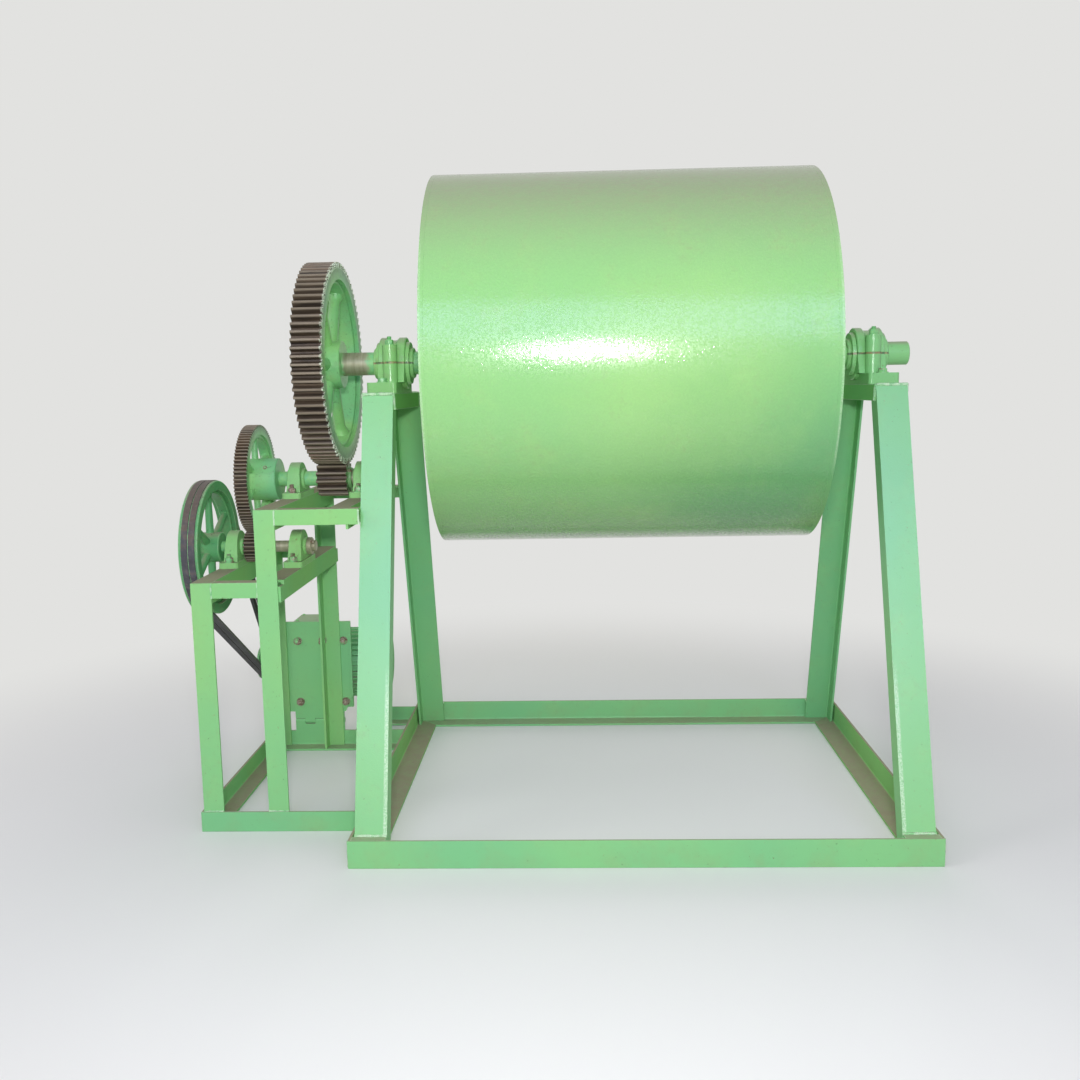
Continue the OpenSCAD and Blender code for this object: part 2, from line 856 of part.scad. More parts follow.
// Lower half of the hinge with its pin, on the edge of the back base rail
module plate_hinge() {
    leaf = hinge_height - hinge_barrel / 2 - fit_gap - post_angle;
    color(paint) placed() {
        translate([hinge_start, plate_face, post_angle]) cube([hinge_length, plate_thickness, leaf]);
        knuckles(0, post_angle, hinge_height);
        along_x(hinge_start, hinge_length) translate([hinge_depth, hinge_height])
            circle(d = hinge_pin, $fn = hole_facets);
    }
}

// Upright plate on the faces of the back posts, with a cut corner and the upper half of the hinge
module motor_plate() {
    left = plate_left_gap - outer_post;
    leaf = plate_low - hinge_height - hinge_barrel / 2 - fit_gap;
    color(paint) placed() difference() {
        union() {
            translate([0, motor_foot, 0]) rotate([90, 0, 0]) linear_extrude(plate_thickness) polygon([
                [left, plate_low], [-plate_right - notch_width, plate_low],
                [-plate_right, plate_low + notch_height], [-plate_right, plate_high], [left, plate_high]]);
            translate([hinge_start, plate_face, plate_low - leaf])
                cube([hinge_length, plate_thickness, leaf]);
            knuckles(1, hinge_height, plate_low);
        }
        along_x(hinge_start - 1, hinge_length + 2) translate([hinge_depth, hinge_height])
            circle(d = hinge_pin + 2 * fit_gap, $fn = hole_facets);
    }
}

// Feet of the motor: a shoe round each bolt hole and a rib from each pair to the frame
module motor_feet() {
    start = shaft_shoulder + foot_start - foot_shoe / 2;
    reach = motor_radius - fin_depth;
    touch = [reach * sin(rib_turn), reach * cos(rib_turn)];
    for (across = [-1, 1]) {
        side = motor_axis + across * motor_gauge / 2;
        for (along = [0, motor_pitch]) translate([start + along, motor_foot, side - foot_shoe / 2])
            difference() {
                cube([foot_shoe, foot_plate, foot_shoe]);
                translate([foot_shoe / 2, foot_plate + 1, foot_shoe / 2]) rotate([90, 0, 0])
                    cylinder(d = foot_hole, h = foot_plate + 2, $fn = hole_facets);
            }
        along_x(start + foot_shoe, motor_pitch - foot_shoe) polygon([
            [motor_foot, side - across * foot_shoe / 2], [motor_foot, side + across * foot_shoe / 2],
            [motor_foot + foot_plate, side + across * foot_shoe / 2],
            [motor_depth - touch[0], motor_axis + across * touch[1]],
            [motor_depth - touch[0], motor_axis], [motor_depth - touch[1], motor_axis]]);
    }
}

// Ribbed motor with end shields, fan cowl, feet and terminal box
module motor() {
    stop = shaft_shoulder + motor_length;
    cowl = stop - cowl_length;
    frame = motor_radius - fin_depth;
    spigot = frame + fin_depth / 2;
    fins = shaft_shoulder + 2 * shield;
    box_start = shaft_shoulder + shield + box_shift;
    lid = motor_radius + box_height - box_lid;
    color(paint) placed() {
        motor_feet();
        translate([0, motor_depth, motor_axis]) {
            turned(bar(pulley_middle - pulley_width / 2, shaft_shoulder + 1, motor_shaft / 2));
            turned([[shaft_shoulder, 0], [shaft_shoulder, 2 * motor_shaft],
                [shaft_shoulder + shield / 2, frame], [shaft_shoulder + shield, spigot],
                [fins, spigot], [fins, frame], [cowl + 1, frame], [cowl + 1, 0]]);
            along_x(fins, cowl - fins)
                for (turn = [0:fin_count - 1]) rotate((turn + 0.5) * 360 / fin_count)
                    translate([frame - 1, -fin_wall / 2]) square([fin_depth + 1, fin_wall]);
            difference() {
                turned(bar(cowl, stop, spigot));
                for (turn = [0:grille_slots - 1]) rotate([turn * 360 / grille_slots, 0, 0])
                    translate([stop - grille_depth, -fin_wall / 2, grille_start])
                        cube([grille_depth + 1, fin_wall, frame - fin_depth - grille_start]);
            }
            translate([box_start, -box_width / 2, 0])
                cube([box_width, box_width, lid + 1]);
            translate([box_start - lid_edge, -box_width / 2 - lid_edge, lid])
                cube([box_width + 2 * lid_edge, box_width + 2 * lid_edge, box_lid]);
        }
    }
}

// Outline of a belt section: distance from the shaft, place along the shaft
function belt_section(outer) = [
    [outer, -belt_width / 2], [outer, belt_width / 2],
    [outer - belt_depth, belt_base / 2], [outer - belt_depth, -belt_base / 2]];

// Groove that clears the belt section by the same gap at its sides and floor
function groove_section(outer, rim) =
    let (slope = (belt_width - belt_base) / 2 / belt_depth,
         floor = outer - belt_depth - belt_gap,
         half = belt_base / 2 + belt_gap,
         top = rim + 1,
         mouth = half + (top - floor) * slope)
    [[top, -mouth], [top, mouth], [floor, half], [floor, -half]];

module grooved_rim(outer, inner, belt_outer) {
    difference() {
        turned(sleeve(-pulley_width / 2, pulley_width / 2, outer, inner));
        for (side = [-1, 1]) translate([side * groove_pitch / 2, 0, 0])
            rotate([90, 0, 90]) rotate_extrude() polygon(groove_section(belt_outer, outer));
    }
}

module motor_pulley() {
    color(worn_steel) placed() translate([pulley_middle, motor_depth, motor_axis])
        grooved_rim(motor_pulley_diameter / 2, motor_shaft / 2, motor_belt_radius);
}

// One closed belt round both pulleys, drawn in the plane of the pulleys
module belt_loop() {
    run = [motor_depth - lower_depth, motor_axis - lower_axis];
    centres = norm(run);
    wrap = acos((belt_radius - motor_belt_radius) / centres);
    straight = centres * sin(wrap) + 2 * overlap;
    rotate(atan2(run[1], run[0])) {
        rotate(wrap) rotate_extrude(angle = 360 - 2 * wrap) polygon(belt_section(belt_radius));
        translate([centres, 0, 0]) rotate(-wrap)
            rotate_extrude(angle = 2 * wrap) polygon(belt_section(motor_belt_radius));
        for (side = [0, 1]) mirror([0, side, 0]) rotate(wrap) rotate([90, 0, 0])
            translate([0, 0, -overlap]) linear_extrude(straight) polygon(belt_section(belt_radius));
    }
}

module belts() {
    color(belt_rubber) placed() for (side = [-1, 1])
        translate([pulley_middle + side * groove_pitch / 2, lower_depth, lower_axis])
            rotate([90, 0, 90]) belt_loop();
}

module on_axis() {
    translate([0, axis_depth, axis_height]) children();
}

// Solid disc about the drum axis
module disc(start, thickness, radius) {
    on_axis() turned([[start, 0], [start, radius], [start + thickness, radius], [start + thickness, 0]]);
}

// Looks out of the drum's side, at the middle of its length
module at_neck() {
    translate([(drum_start + drum_stop) / 2, axis_depth, axis_height]) rotate([-90, 0, 0]) children();
}

// Rolled shell with the charging neck and its flange
module drum_shell() {
    neck = neck_bore / 2 + neck_wall;
    face = drum_radius + neck_reach;
    color(paint) placed() difference() {
        union() {
            disc(drum_start + end_plate, drum_length - 2 * end_plate, drum_radius);
            at_neck() cylinder(r = neck, h = face);
            at_neck() translate([0, 0, face - flange_thickness])
                cylinder(r = neck + neck_flange, h = flange_thickness);
        }
        disc(drum_start, drum_length, drum_radius - shell_wall);
        at_neck() cylinder(d = neck_bore, h = drum_diameter);
        at_neck() cover_holes(face - flange_thickness);
    }
}

module cover_holes(level) {
    reach = (neck_bore / 2 + neck_wall) + neck_flange / 2;
    for (k = [0:cover_bolts - 1]) rotate((k + 0.5) * 360 / cover_bolts) translate([reach, 0, level - 1])
        cylinder(d = cover_hole, h = flange_thickness + cover_thickness + 2, $fn = hole_facets);
}

// Bolted cover with two rod handles
module charging_cover() {
    level = drum_radius + neck_reach;
    reach = handle_reach - handle_rod / 2;
    color(paint) placed() at_neck() {
        difference() {
            translate([0, 0, level])
                cylinder(r = neck_bore / 2 + neck_wall + neck_flange, h = cover_thickness);
            cover_holes(level);
        }
        for (side = [-1, 1]) translate([side * neck_bore / 4, 0, level + cover_thickness]) {
            for (end = [-1, 1]) translate([0, end * handle_width / 2, 0])
                cylinder(d = handle_rod, h = handle_reach, $fn = hole_facets);
            translate([0, handle_width / 2 + handle_rod / 2, reach]) rotate([90, 0, 0])
                cylinder(d = handle_rod, h = handle_width + handle_rod, $fn = hole_facets);
        }
    }
}

module drum_end_left() {
    color(paint) placed() disc(drum_start, end_plate, drum_radius);
}

module drum_end_right() {
    color(paint) placed() disc(drum_stop - end_plate, end_plate, drum_radius);
}

// Bolted flange with its hub, drawn at the left end
module flanged_hub() {
    face = drum_start - hub_flange_thickness;
    circle_radius = (hub_diameter + hub_flange) / 4;
    on_axis() difference() {
        union() {
            turned(bar(hub_left_start, drum_start, hub_diameter / 2));
            turned(bar(face, drum_start, hub_flange / 2));
            turned([[face - hub_weld, 0], [face - hub_weld, hub_diameter / 2],
                [face, hub_diameter / 2 + hub_weld], [face, 0]]);
        }
        for (k = [0:flange_bolts - 1]) rotate([(k + 0.5) * 360 / flange_bolts, 0, 0])
            translate([face - 1, 0, circle_radius]) rotate([0, 90, 0])
                cylinder(d = flange_hole, h = hub_flange_thickness + 1, $fn = hole_facets);
    }
}

module shaft_left() {
    color(bare_steel) placed() {
        on_axis() turned(bar(bull_start, drum_start, shaft_radius));
        flanged_hub();
    }
}

module shaft_right() {
    color(paint) placed() {
        on_axis() turned(bar(drum_stop, base_length + stub_reach, shaft_radius));
        translate([drum_start + drum_stop, 0, 0]) mirror([1, 0, 0]) flanged_hub();
    }
}

// Half angle of a tooth at a radius, for an involute tooth
function involute(angle) = tan(angle) * degrees_per_radian - angle;
function half_tooth(radius, pitch, teeth) =
    let (base = pitch * cos(pressure_angle))
    90 / teeth + involute(pressure_angle) - involute(acos(min(1, base / max(radius, base))));
function polar(radius, angle) = [radius * cos(angle), radius * sin(angle)];

// Outline of a spur gear with one tooth centred on the first axis
function gear_outline(pitch, teeth, size) =
    let (tip = pitch + size,
         root = pitch - root_depth * size,
         start = max(root, pitch * cos(pressure_angle)),
         radii = concat(start > root ? [root] : [],
             [for (i = [0:tooth_points]) start + (tip - start) * i / tooth_points]))
    [for (k = [0:teeth - 1]) each concat(
        [for (i = [0:len(radii) - 1])
            polar(radii[i], 360 * k / teeth - half_tooth(radii[i], pitch, teeth))],
        [for (i = [len(radii) - 1:-1:0])
            polar(radii[i], 360 * k / teeth + half_tooth(radii[i], pitch, teeth))])];

module toothed(pitch, count, size, turn) {
    rotate(turn) polygon(gear_outline(pitch, count, size));
}

// Centre of a cast wheel about its own middle: bead inside the rim, round arms and the hub
module wheel_centre(rim, bead, hub, hub_start, hub_stop, bore, arm, turn) {
    outer = rim + overlap;
    inner = rim - bead_height;
    turned([[-bead / 2, outer], [-bead / 2, inner + bevel], [bevel - bead / 2, inner],
        [bead / 2 - bevel, inner], [bead / 2, inner + bevel], [bead / 2, outer]]);
    turned(sleeve(hub_start, hub_stop, hub, bore));
    for (k = [0:arm_count - 1]) rotate([k * 360 / arm_count + turn, 0, 0]) difference() {
        union() {
            cylinder(r1 = arm, r2 = arm * arm_taper, h = rim - bead_height / 2);
            translate([0, 0, inner - arm])
                cylinder(r1 = arm * arm_taper, r2 = bead / 2 - bevel, h = arm + bead_height / 2);
        }
        turned([[-hub, 0], [-hub, bore + overlap], [hub, bore + overlap], [hub, 0]]);
    }
}

module bull_gear() {
    rim = bull_pitch - root_depth * bull_module - bull_rim;
    middle = bull_face / 2;
    color(worn_steel) placed() on_axis() {
        along_x(bull_start, bull_face) difference() {
            toothed(bull_pitch, bull_teeth, bull_module, -90);
            circle(rim);
        }
        translate([bull_start + middle, 0, 0])
            wheel_centre(rim, bull_bead, bull_hub / 2, -middle, middle, shaft_radius, bull_arm,
                bull_arm_turn);
    }
}

module at_upper() {
    translate([0, axis_depth, upper_axis]) children();
}

module at_lower() {
    translate([0, lower_depth, lower_axis]) children();
}

module upper_shaft() {
    stop = upper_beams[1] + post_angle / 2 + bush_length / 2 + upper_overhang;
    color(bare_steel) placed() at_upper() turned(bar(second_start, stop, upper_shaft_diameter / 2));
}

// Pinion with a collar on its right
module bull_pinion() {
    bore = upper_shaft_diameter / 2;
    stop = pinion_start + pinion_face;
    color(worn_steel) placed() at_upper() {
        along_x(pinion_start, pinion_face) difference() {
            toothed(pinion_pitch, pinion_teeth, bull_module, 90 + 180 / pinion_teeth);
            circle(bore);
        }
        turned(sleeve(stop, stop + collar_length, pinion_collar / 2, bore));
    }
}

module second_gear() {
    rim = second_pitch - root_depth * fine_module - second_rim;
    middle = second_face / 2;
    color(worn_steel) placed() at_upper() {
        along_x(second_start, second_face) difference() {
            toothed(second_pitch, second_teeth, fine_module, fine_turn);
            circle(rim);
        }
        translate([second_start + middle, 0, 0]) wheel_centre(rim, second_bead, second_hub / 2,
            -middle, second_hub_length - middle, upper_shaft_diameter / 2, second_arm, 0);
    }
}

// Lower countershaft with a set collar outside its right block
module lower_shaft() {
    block = lower_beams[1] + post_angle / 2 + bush_length / 2;
    color(bare_steel) placed() at_lower() {
        turned(bar(pulley_middle - pulley_width / 2, block + lower_overhang, lower_shaft_diameter / 2));
        turned(sleeve(block + fit_gap, block + fit_gap + set_collar_length, set_collar / 2,
            lower_shaft_diameter / 2 - overlap));
    }
}

module small_pinion() {
    color(worn_steel) placed() at_lower() along_x(small_start, small_face) difference() {
        toothed(small_pitch, small_teeth, fine_module, fine_turn + 180 + 180 / small_teeth);
        circle(lower_shaft_diameter / 2);
    }
}

module belt_pulley() {
    inner = pulley_diameter / 2 - pulley_rim;
    color(paint) placed() translate([pulley_middle, 0, 0]) at_lower() {
        grooved_rim(pulley_diameter / 2, inner, belt_radius);
        wheel_centre(inner, pulley_bead, pulley_hub / 2, -pulley_width / 2,
            pulley_width / 2 + pulley_hub_reach, lower_shaft_diameter / 2, pulley_arm, 0);
    }
}

base_rail_front();
base_rail_back();
base_rail_left();
base_rail_right();
leg_front_left();
leg_back_left();
leg_front_right();
leg_back_right();
foot_plates();
seat_beam_left();
seat_beam_right();
bearing_base_left();
bearing_base_right();
bearing_cap_left();
bearing_cap_right();
outer_posts();
inner_posts();
drive_base_front();
drive_base_back();
drive_base_left();
lower_rails();
upper_rails();
lower_bearing_beams();
upper_bearing_beams();
lower_blocks();
upper_blocks();
back_tie();
plate_hinge();
motor_plate();
motor();
motor_pulley();
belts();
drum_shell();
drum_end_left();
drum_end_right();
shaft_left();
shaft_right();
charging_cover();
bull_gear();
upper_shaft();
bull_pinion();
second_gear();
lower_shaft();
small_pinion();
belt_pulley();
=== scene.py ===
import json
import math
import random
import bmesh
import bpy
from mathutils import Matrix, Vector, noise


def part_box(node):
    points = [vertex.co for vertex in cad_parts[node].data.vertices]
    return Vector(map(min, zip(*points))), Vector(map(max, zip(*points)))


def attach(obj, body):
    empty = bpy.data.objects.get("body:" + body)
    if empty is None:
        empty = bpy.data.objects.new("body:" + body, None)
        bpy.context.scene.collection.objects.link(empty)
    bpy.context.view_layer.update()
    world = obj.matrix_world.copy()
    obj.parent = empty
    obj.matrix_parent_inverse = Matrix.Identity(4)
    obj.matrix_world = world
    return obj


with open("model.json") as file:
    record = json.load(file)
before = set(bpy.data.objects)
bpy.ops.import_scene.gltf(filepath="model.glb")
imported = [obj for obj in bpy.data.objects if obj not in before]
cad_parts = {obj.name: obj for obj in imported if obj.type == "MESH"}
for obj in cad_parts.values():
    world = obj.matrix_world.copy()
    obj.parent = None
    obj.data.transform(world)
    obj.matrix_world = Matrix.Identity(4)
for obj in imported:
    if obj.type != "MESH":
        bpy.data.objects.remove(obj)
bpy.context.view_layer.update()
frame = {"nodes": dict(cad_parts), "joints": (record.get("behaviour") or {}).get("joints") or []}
nodes = frame["nodes"]
axes = {joint["name"]: Vector(joint["pos_m"]) for joint in frame["joints"]}
drumAxis = axes["drum_spin"]
upperAxis = axes["upper_shaft_spin"]
lowerAxis = axes["lower_shaft_spin"]
up = Vector((0, 0, 1))
print("frame loaded:", len(nodes), "nodes")


def linear(red, green, blue):
    # 0 to 255 as seen on a screen, to the values that shaders use
    return tuple(((v / 255 + 0.055) / 1.055) ** 2.4 for v in (red, green, blue)) + (1.0,)


# one output of a shader node, with the signs of arithmetic
class Wire:
    def __init__(self, graph, socket):
        self.graph = graph
        self.socket = socket

    def maths(self, operation, *values):
        return self.graph.node("Math", {"operation": operation}, dict(enumerate(values)))

    def __add__(self, other):
        return self.maths("ADD", self, other)

    def __radd__(self, other):
        return self.maths("ADD", other, self)

    def __sub__(self, other):
        return self.maths("SUBTRACT", self, other)

    def __rsub__(self, other):
        return self.maths("SUBTRACT", other, self)

    def __mul__(self, other):
        return self.maths("MULTIPLY", self, other)

    def __rmul__(self, other):
        return self.maths("MULTIPLY", other, self)

    def __abs__(self):
        return self.maths("ABSOLUTE", self)

    def __pow__(self, power):
        return self.maths("POWER", self, power)

    def __or__(self, other):
        return self.maths("MAXIMUM", self, other)

    def rise(self, low, high):
        # 0 below low, 1 above high, smooth between; low above high turns it round
        settings = {"interpolation_type": "SMOOTHSTEP"}
        return self.graph.node("MapRange", settings, {"Value": self, 1: low, 2: high})

    def blend(self, low, high):
        # colour low where this is 0, colour high where it is 1
        return self.graph.node("Mix", {"data_type": "RGBA"}, {0: self, 6: low, 7: high}, 2)


class Graph:
    def __init__(self, tree):
        self.tree = tree

    def node(self, kind, settings, inputs, output=0):
        made = self.tree.nodes.new("ShaderNode" + kind)
        for key, value in settings.items():
            setattr(made, key, value)
        for key, value in inputs.items():
            if isinstance(value, Wire):
                self.tree.links.new(value.socket, made.inputs[key])
            else:
                made.inputs[key].default_value = value
        return Wire(self, made.outputs[output])

    def seen(self):
        # 1 for what the camera sees, straight, in a shine or through glass
        camera, glossy, through = [self.node("LightPath", {}, {}, "Is " + ray + " Ray")
                                   for ray in ("Camera", "Glossy", "Transmission")]
        return camera | glossy | through

    def show(self, wire, name):
        self.tree.links.new(wire.socket, self.tree.nodes[name].inputs["Surface"])


class Finish(Graph):
    def __init__(self, name):
        self.material = bpy.data.materials.new(name)
        self.material.use_nodes = True
        super().__init__(self.material.node_tree)
        self.shader = self.tree.nodes["Principled BSDF"]

    def place(self):
        return self.node("TexCoord", {}, {}, "Object")

    def parts(self, vector):
        split = self.node("SeparateXYZ", {}, {0: vector})
        outputs = split.socket.node.outputs
        return [Wire(self, outputs[i]) for i in range(3)]

    def facing(self):
        # the way the surface faces, in the frame of the piece
        return self.parts(self.node("TexCoord", {}, {}, "Normal"))

    def distance(self, centre):
        return self.node("VectorMath", {"operation": "DISTANCE"}, {0: self.place(), 1: centre}, "Value")

    def noise(self, scale, detail=3.0, rough=0.5, stretch=None):
        where = self.place()
        if stretch:
            where = self.node("VectorMath", {"operation": "MULTIPLY"}, {0: where, 1: stretch})
        inputs = {"Vector": where, "Scale": scale, "Detail": detail, "Roughness": rough}
        return self.node("TexNoise", {}, inputs, "Fac")

    def bump(self, height, depth, under=None):
        inputs = {"Height": height, "Distance": depth}
        if under:
            inputs["Normal"] = under
        return self.node("Bump", {}, inputs)

    def wear(self, **sockets):
        # sockets of the shader, by name with the spaces left out
        for key, value in sockets.items():
            socket = next(s for s in self.shader.inputs if s.name.replace(" ", "") == key)
            if isinstance(value, Wire):
                self.tree.links.new(value.socket, socket)
            else:
                socket.default_value = value
        return self.material


tones = {
    "leaf": linear(142, 201, 124),
    "mint": linear(122, 192, 132),
    "fern": linear(132, 198, 130),
    "lime": linear(162, 210, 124),
    "sea": linear(92, 164, 106),
    "dust": linear(164, 150, 132),
    "sand": linear(142, 126, 104),
    "primer": linear(166, 112, 92),
    "moss": linear(52, 84, 52),
    "bottle": linear(80, 136, 86),
    "soot": linear(54, 64, 48),
    "fleck": linear(226, 240, 214),
}

# the enamels' own settings: shares run from 0 to 1, depths and places are in metres
# places along X and heights of the painted highlights at the drum's ends and the front legs' inner edges
drumRims = (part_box("drum_end_left")[0].x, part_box("drum_end_right")[1].x, 0.95, 1.35)
legInset = 0.004
legRims = (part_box("leg_front_left")[1].x - legInset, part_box("leg_front_right")[0].x + legInset, 0.05, 0.35)
drumPatches = [
    {"centre": (0.52, -0.40, 0.90), "reach": 0.40, "tone": "sea", "strength": 0.7},
    {"centre": (0.34, -0.46, 1.08), "reach": 0.36, "tone": "lime", "strength": 0.5},
]
enamels = {
    "standEnamel": {},
    "warmEnamel": {"greens": ("fern", "leaf")},
    "dustyBeamEnamel": {"greens": ("fern", "leaf"), "dust": 1.0, "dustFrom": 0.5, "level": 0.0},
    "drumEnamel": {"greens": ("leaf", "leaf"), "clouds": 0.3, "dust": 0.75, "dustFrom": 0.3, "chips": 0.76,
                   "peel": 0.0006, "grain": 165.0, "gloss": 0.05, "dull": 0.12, "coat": 1.0, "grime": 0.0,
                   "under": 0.2, "patches": drumPatches, "rims": drumRims},
    "legEnamel": {"gloss": 0.18, "dull": 0.08, "level": 0.7, "rims": legRims},
    "pulleyEnamel": {"greens": ("bottle", "sea"), "soil": 0.8, "chips": 0.62, "rough": 0.0008},
    "castEnamel": {"greens": ("fern", "leaf"), "soil": 0.6, "dust": 0.5, "chips": 0.64, "rough": 0.0008},
    "bearingEnamel": {"greens": ("fern", "leaf"), "soil": 0.6, "dust": 0.5, "chips": 0.64, "rough": 0.0006,
                      "gloss": 0.16, "dull": 0.1, "split": drumAxis.z},
    "motorEnamel": {"dust": 0.6, "chips": 0.68, "rough": 0.0004},
    "edgeEnamel": {"dust": 0.35, "chips": 0.6, "outline": 0.6},
    "legEdgeEnamel": {"dust": 0.1, "chips": 0.7, "gloss": 0.1, "dull": 0.1, "level": 0.8, "outline": 0.6},
    "weldEnamel": {"dust": 0.2, "chips": 0.64, "rough": 0.0012, "gloss": 0.1, "dull": 0.1, "level": 0.5,
                   "outline": 0.6},
}
# what all of them share
brushwork = {"cloudScale": 1.7, "spotScale": 9.0, "fineScale": 65.0, "chipScale": 150.0, "chipDepth": 0.0004,
             "runScale": 16.0, "runDepth": 0.0004, "castScale": 120.0, "splashHeight": 0.09,
             "seam": (0.0035, 0.0015), "rimWidth": (0.007, 0.003), "rimFade": 0.1, "fleckScale": 420.0,
             "pitScale": 190.0, "coatRoughness": 0.24}


# painted highlight: pale flecks in a narrow line beside two places along X, between two heights
def paintedRimHighlight(paint, across, rims):
    x, y, z = paint.parts(paint.place())
    left, right, low, high = rims
    fade = brushwork["rimFade"]
    near = abs(abs(x - (left + right) / 2) - (right - left) / 2).rise(*brushwork["rimWidth"])
    near = near * abs(across).rise(0.8, 0.5) * z.rise(high + fade, high) * z.rise(low - fade, low)
    return near * (0.12 + paint.noise(brushwork["fleckScale"], 2.0).rise(0.42, 0.6) * 0.48)


# painted shade in the hollows; pale flecks on the ridges, partly chipped paint and partly a painted highlight
def drawOutline(paint, colour, fine, strength):
    bend = paint.node("NewGeometry", {}, {}, "Pointiness")
    colour = (bend.rise(0.5, 0.45) * 0.75).blend(colour, tones["moss"])
    return (bend.rise(0.5, 0.56) * fine.rise(0.35, 0.6) * strength).blend(colour, tones["fleck"])


# a clear layer with tiny pits, dulled where dust lies on it
def clearCoat(paint, settled, coat):
    pits = paint.noise(brushwork["pitScale"], 1.0).rise(0.45, 0.52)
    paint.wear(CoatWeight=(1 - settled * 1.4) * (0.25 + pits * 0.75) * coat,
               CoatRoughness=brushwork["coatRoughness"])


# brushed and sprayed enamel: two greens, dust on what faces up, painted shade on what faces down and in
# hollows, splashes near the floor, chips, painted highlights along rims and ridges
def greenEnamel(name, greens=("mint", "fern"), clouds=0.15, soil=0.2, dust=0.7, dustFrom=0.6, chips=0.66,
                peel=0.0002, rough=0.0, gloss=0.3, dull=0.3, level=0.3, coat=0.0, grain=300.0, grime=0.3,
                under=0.0, split=None, patches=(), rims=None, outline=0.0):
    paint = Finish(name)
    across, _, facesUp = paint.facing()
    z = paint.parts(paint.place())[2]
    broad = paint.noise(brushwork["cloudScale"], 2.0)
    middle = paint.noise(brushwork["spotScale"], 4.0, 0.6)
    fine = paint.noise(brushwork["fineScale"], 5.0, 0.65)
    colour = broad.rise(0.35, 0.62).blend(tones[greens[0]], tones[greens[1]])
    colour = (middle.rise(0.45, 0.8) * clouds).blend(colour, tones["lime"])
    for patch in patches:
        away = paint.distance(patch["centre"]) + (middle - 0.5) * 0.25
        near = away.rise(patch["reach"], patch["reach"] * 0.3)
        colour = (near * patch["strength"]).blend(colour, tones[patch["tone"]])
    soiled = fine.rise(0.45, 0.8) * middle.rise(0.4, 0.7) * soil
    colour = soiled.blend(colour, tones["sand"])
    settled = facesUp.rise(dustFrom, 1.0) * (0.55 + fine * 0.6) * dust
    colour = settled.blend(colour, tones["dust"])
    # painted shade: darker on what faces down
    colour = (facesUp.rise(-0.1, -0.85) * under).blend(colour, tones["moss"])
    splash = z.rise(brushwork["splashHeight"], 0.0) * middle.rise(0.42, 0.62) * 0.4 * grime
    colour = splash.blend(colour, tones["sand"])
    flaked = paint.noise(brushwork["chipScale"], 6.0, 0.72).rise(chips, chips + 0.02)
    if split:
        # the open seam between a base and its cap
        flaked = flaked | abs(z - split).rise(*brushwork["seam"]) * fine.rise(0.3, 0.42)
    colour = (flaked * 0.8).blend(colour, fine.rise(0.4, 0.6).blend(tones["primer"], tones["soot"]))
    # painted highlights along the rims
    if rims:
        flecks = paintedRimHighlight(paint, across, rims) * (0.5 if coat else 1)
        colour = flecks.blend(colour, tones["fleck"])
    # painted shade in the hollows and painted highlights on the ridges
    if outline:
        colour = drawOutline(paint, colour, fine, outline)
    normal = paint.bump(paint.noise(grain, 1.0), peel)
    runs = paint.noise(brushwork["runScale"], 2.0, 0.5, (1.0, 1.0, 0.12))
    normal = paint.bump(runs, brushwork["runDepth"], normal)
    if rough:
        normal = paint.bump(paint.noise(brushwork["castScale"], 6.0, 0.6), rough, normal)
    normal = paint.bump(flaked, -brushwork["chipDepth"], normal)
    roughness = gloss + (settled + splash + flaked) * dull + fine * 0.06
    if coat:
        clearCoat(paint, settled, coat)
    else:
        # the sides that the camera sees at a slant are dull
        roughness = roughness + abs(across).rise(0.6, 0.95) * 0.4
    return paint.wear(BaseColor=colour, Roughness=roughness, Normal=normal, SpecularIORLevel=level)


finishes = {name: greenEnamel(name, **settings) for name, settings in enamels.items()}
print("enamel made")

gearSizes = {
    "bull_gear": {"axis": drumAxis, "module": 0.00635, "teeth": 81},
    "bull_pinion": {"axis": upperAxis, "module": 0.00635, "teeth": 13},
    "second_gear": {"axis": upperAxis, "module": 0.003175, "teeth": 90},
    "small_pinion": {"axis": lowerAxis, "module": 0.003175, "teeth": 24},
}
# heights in modules, lip in metres
gearForm = {"tip": 1, "root": 1.25, "sootBand": 5, "lip": (0.006, 0.002)}


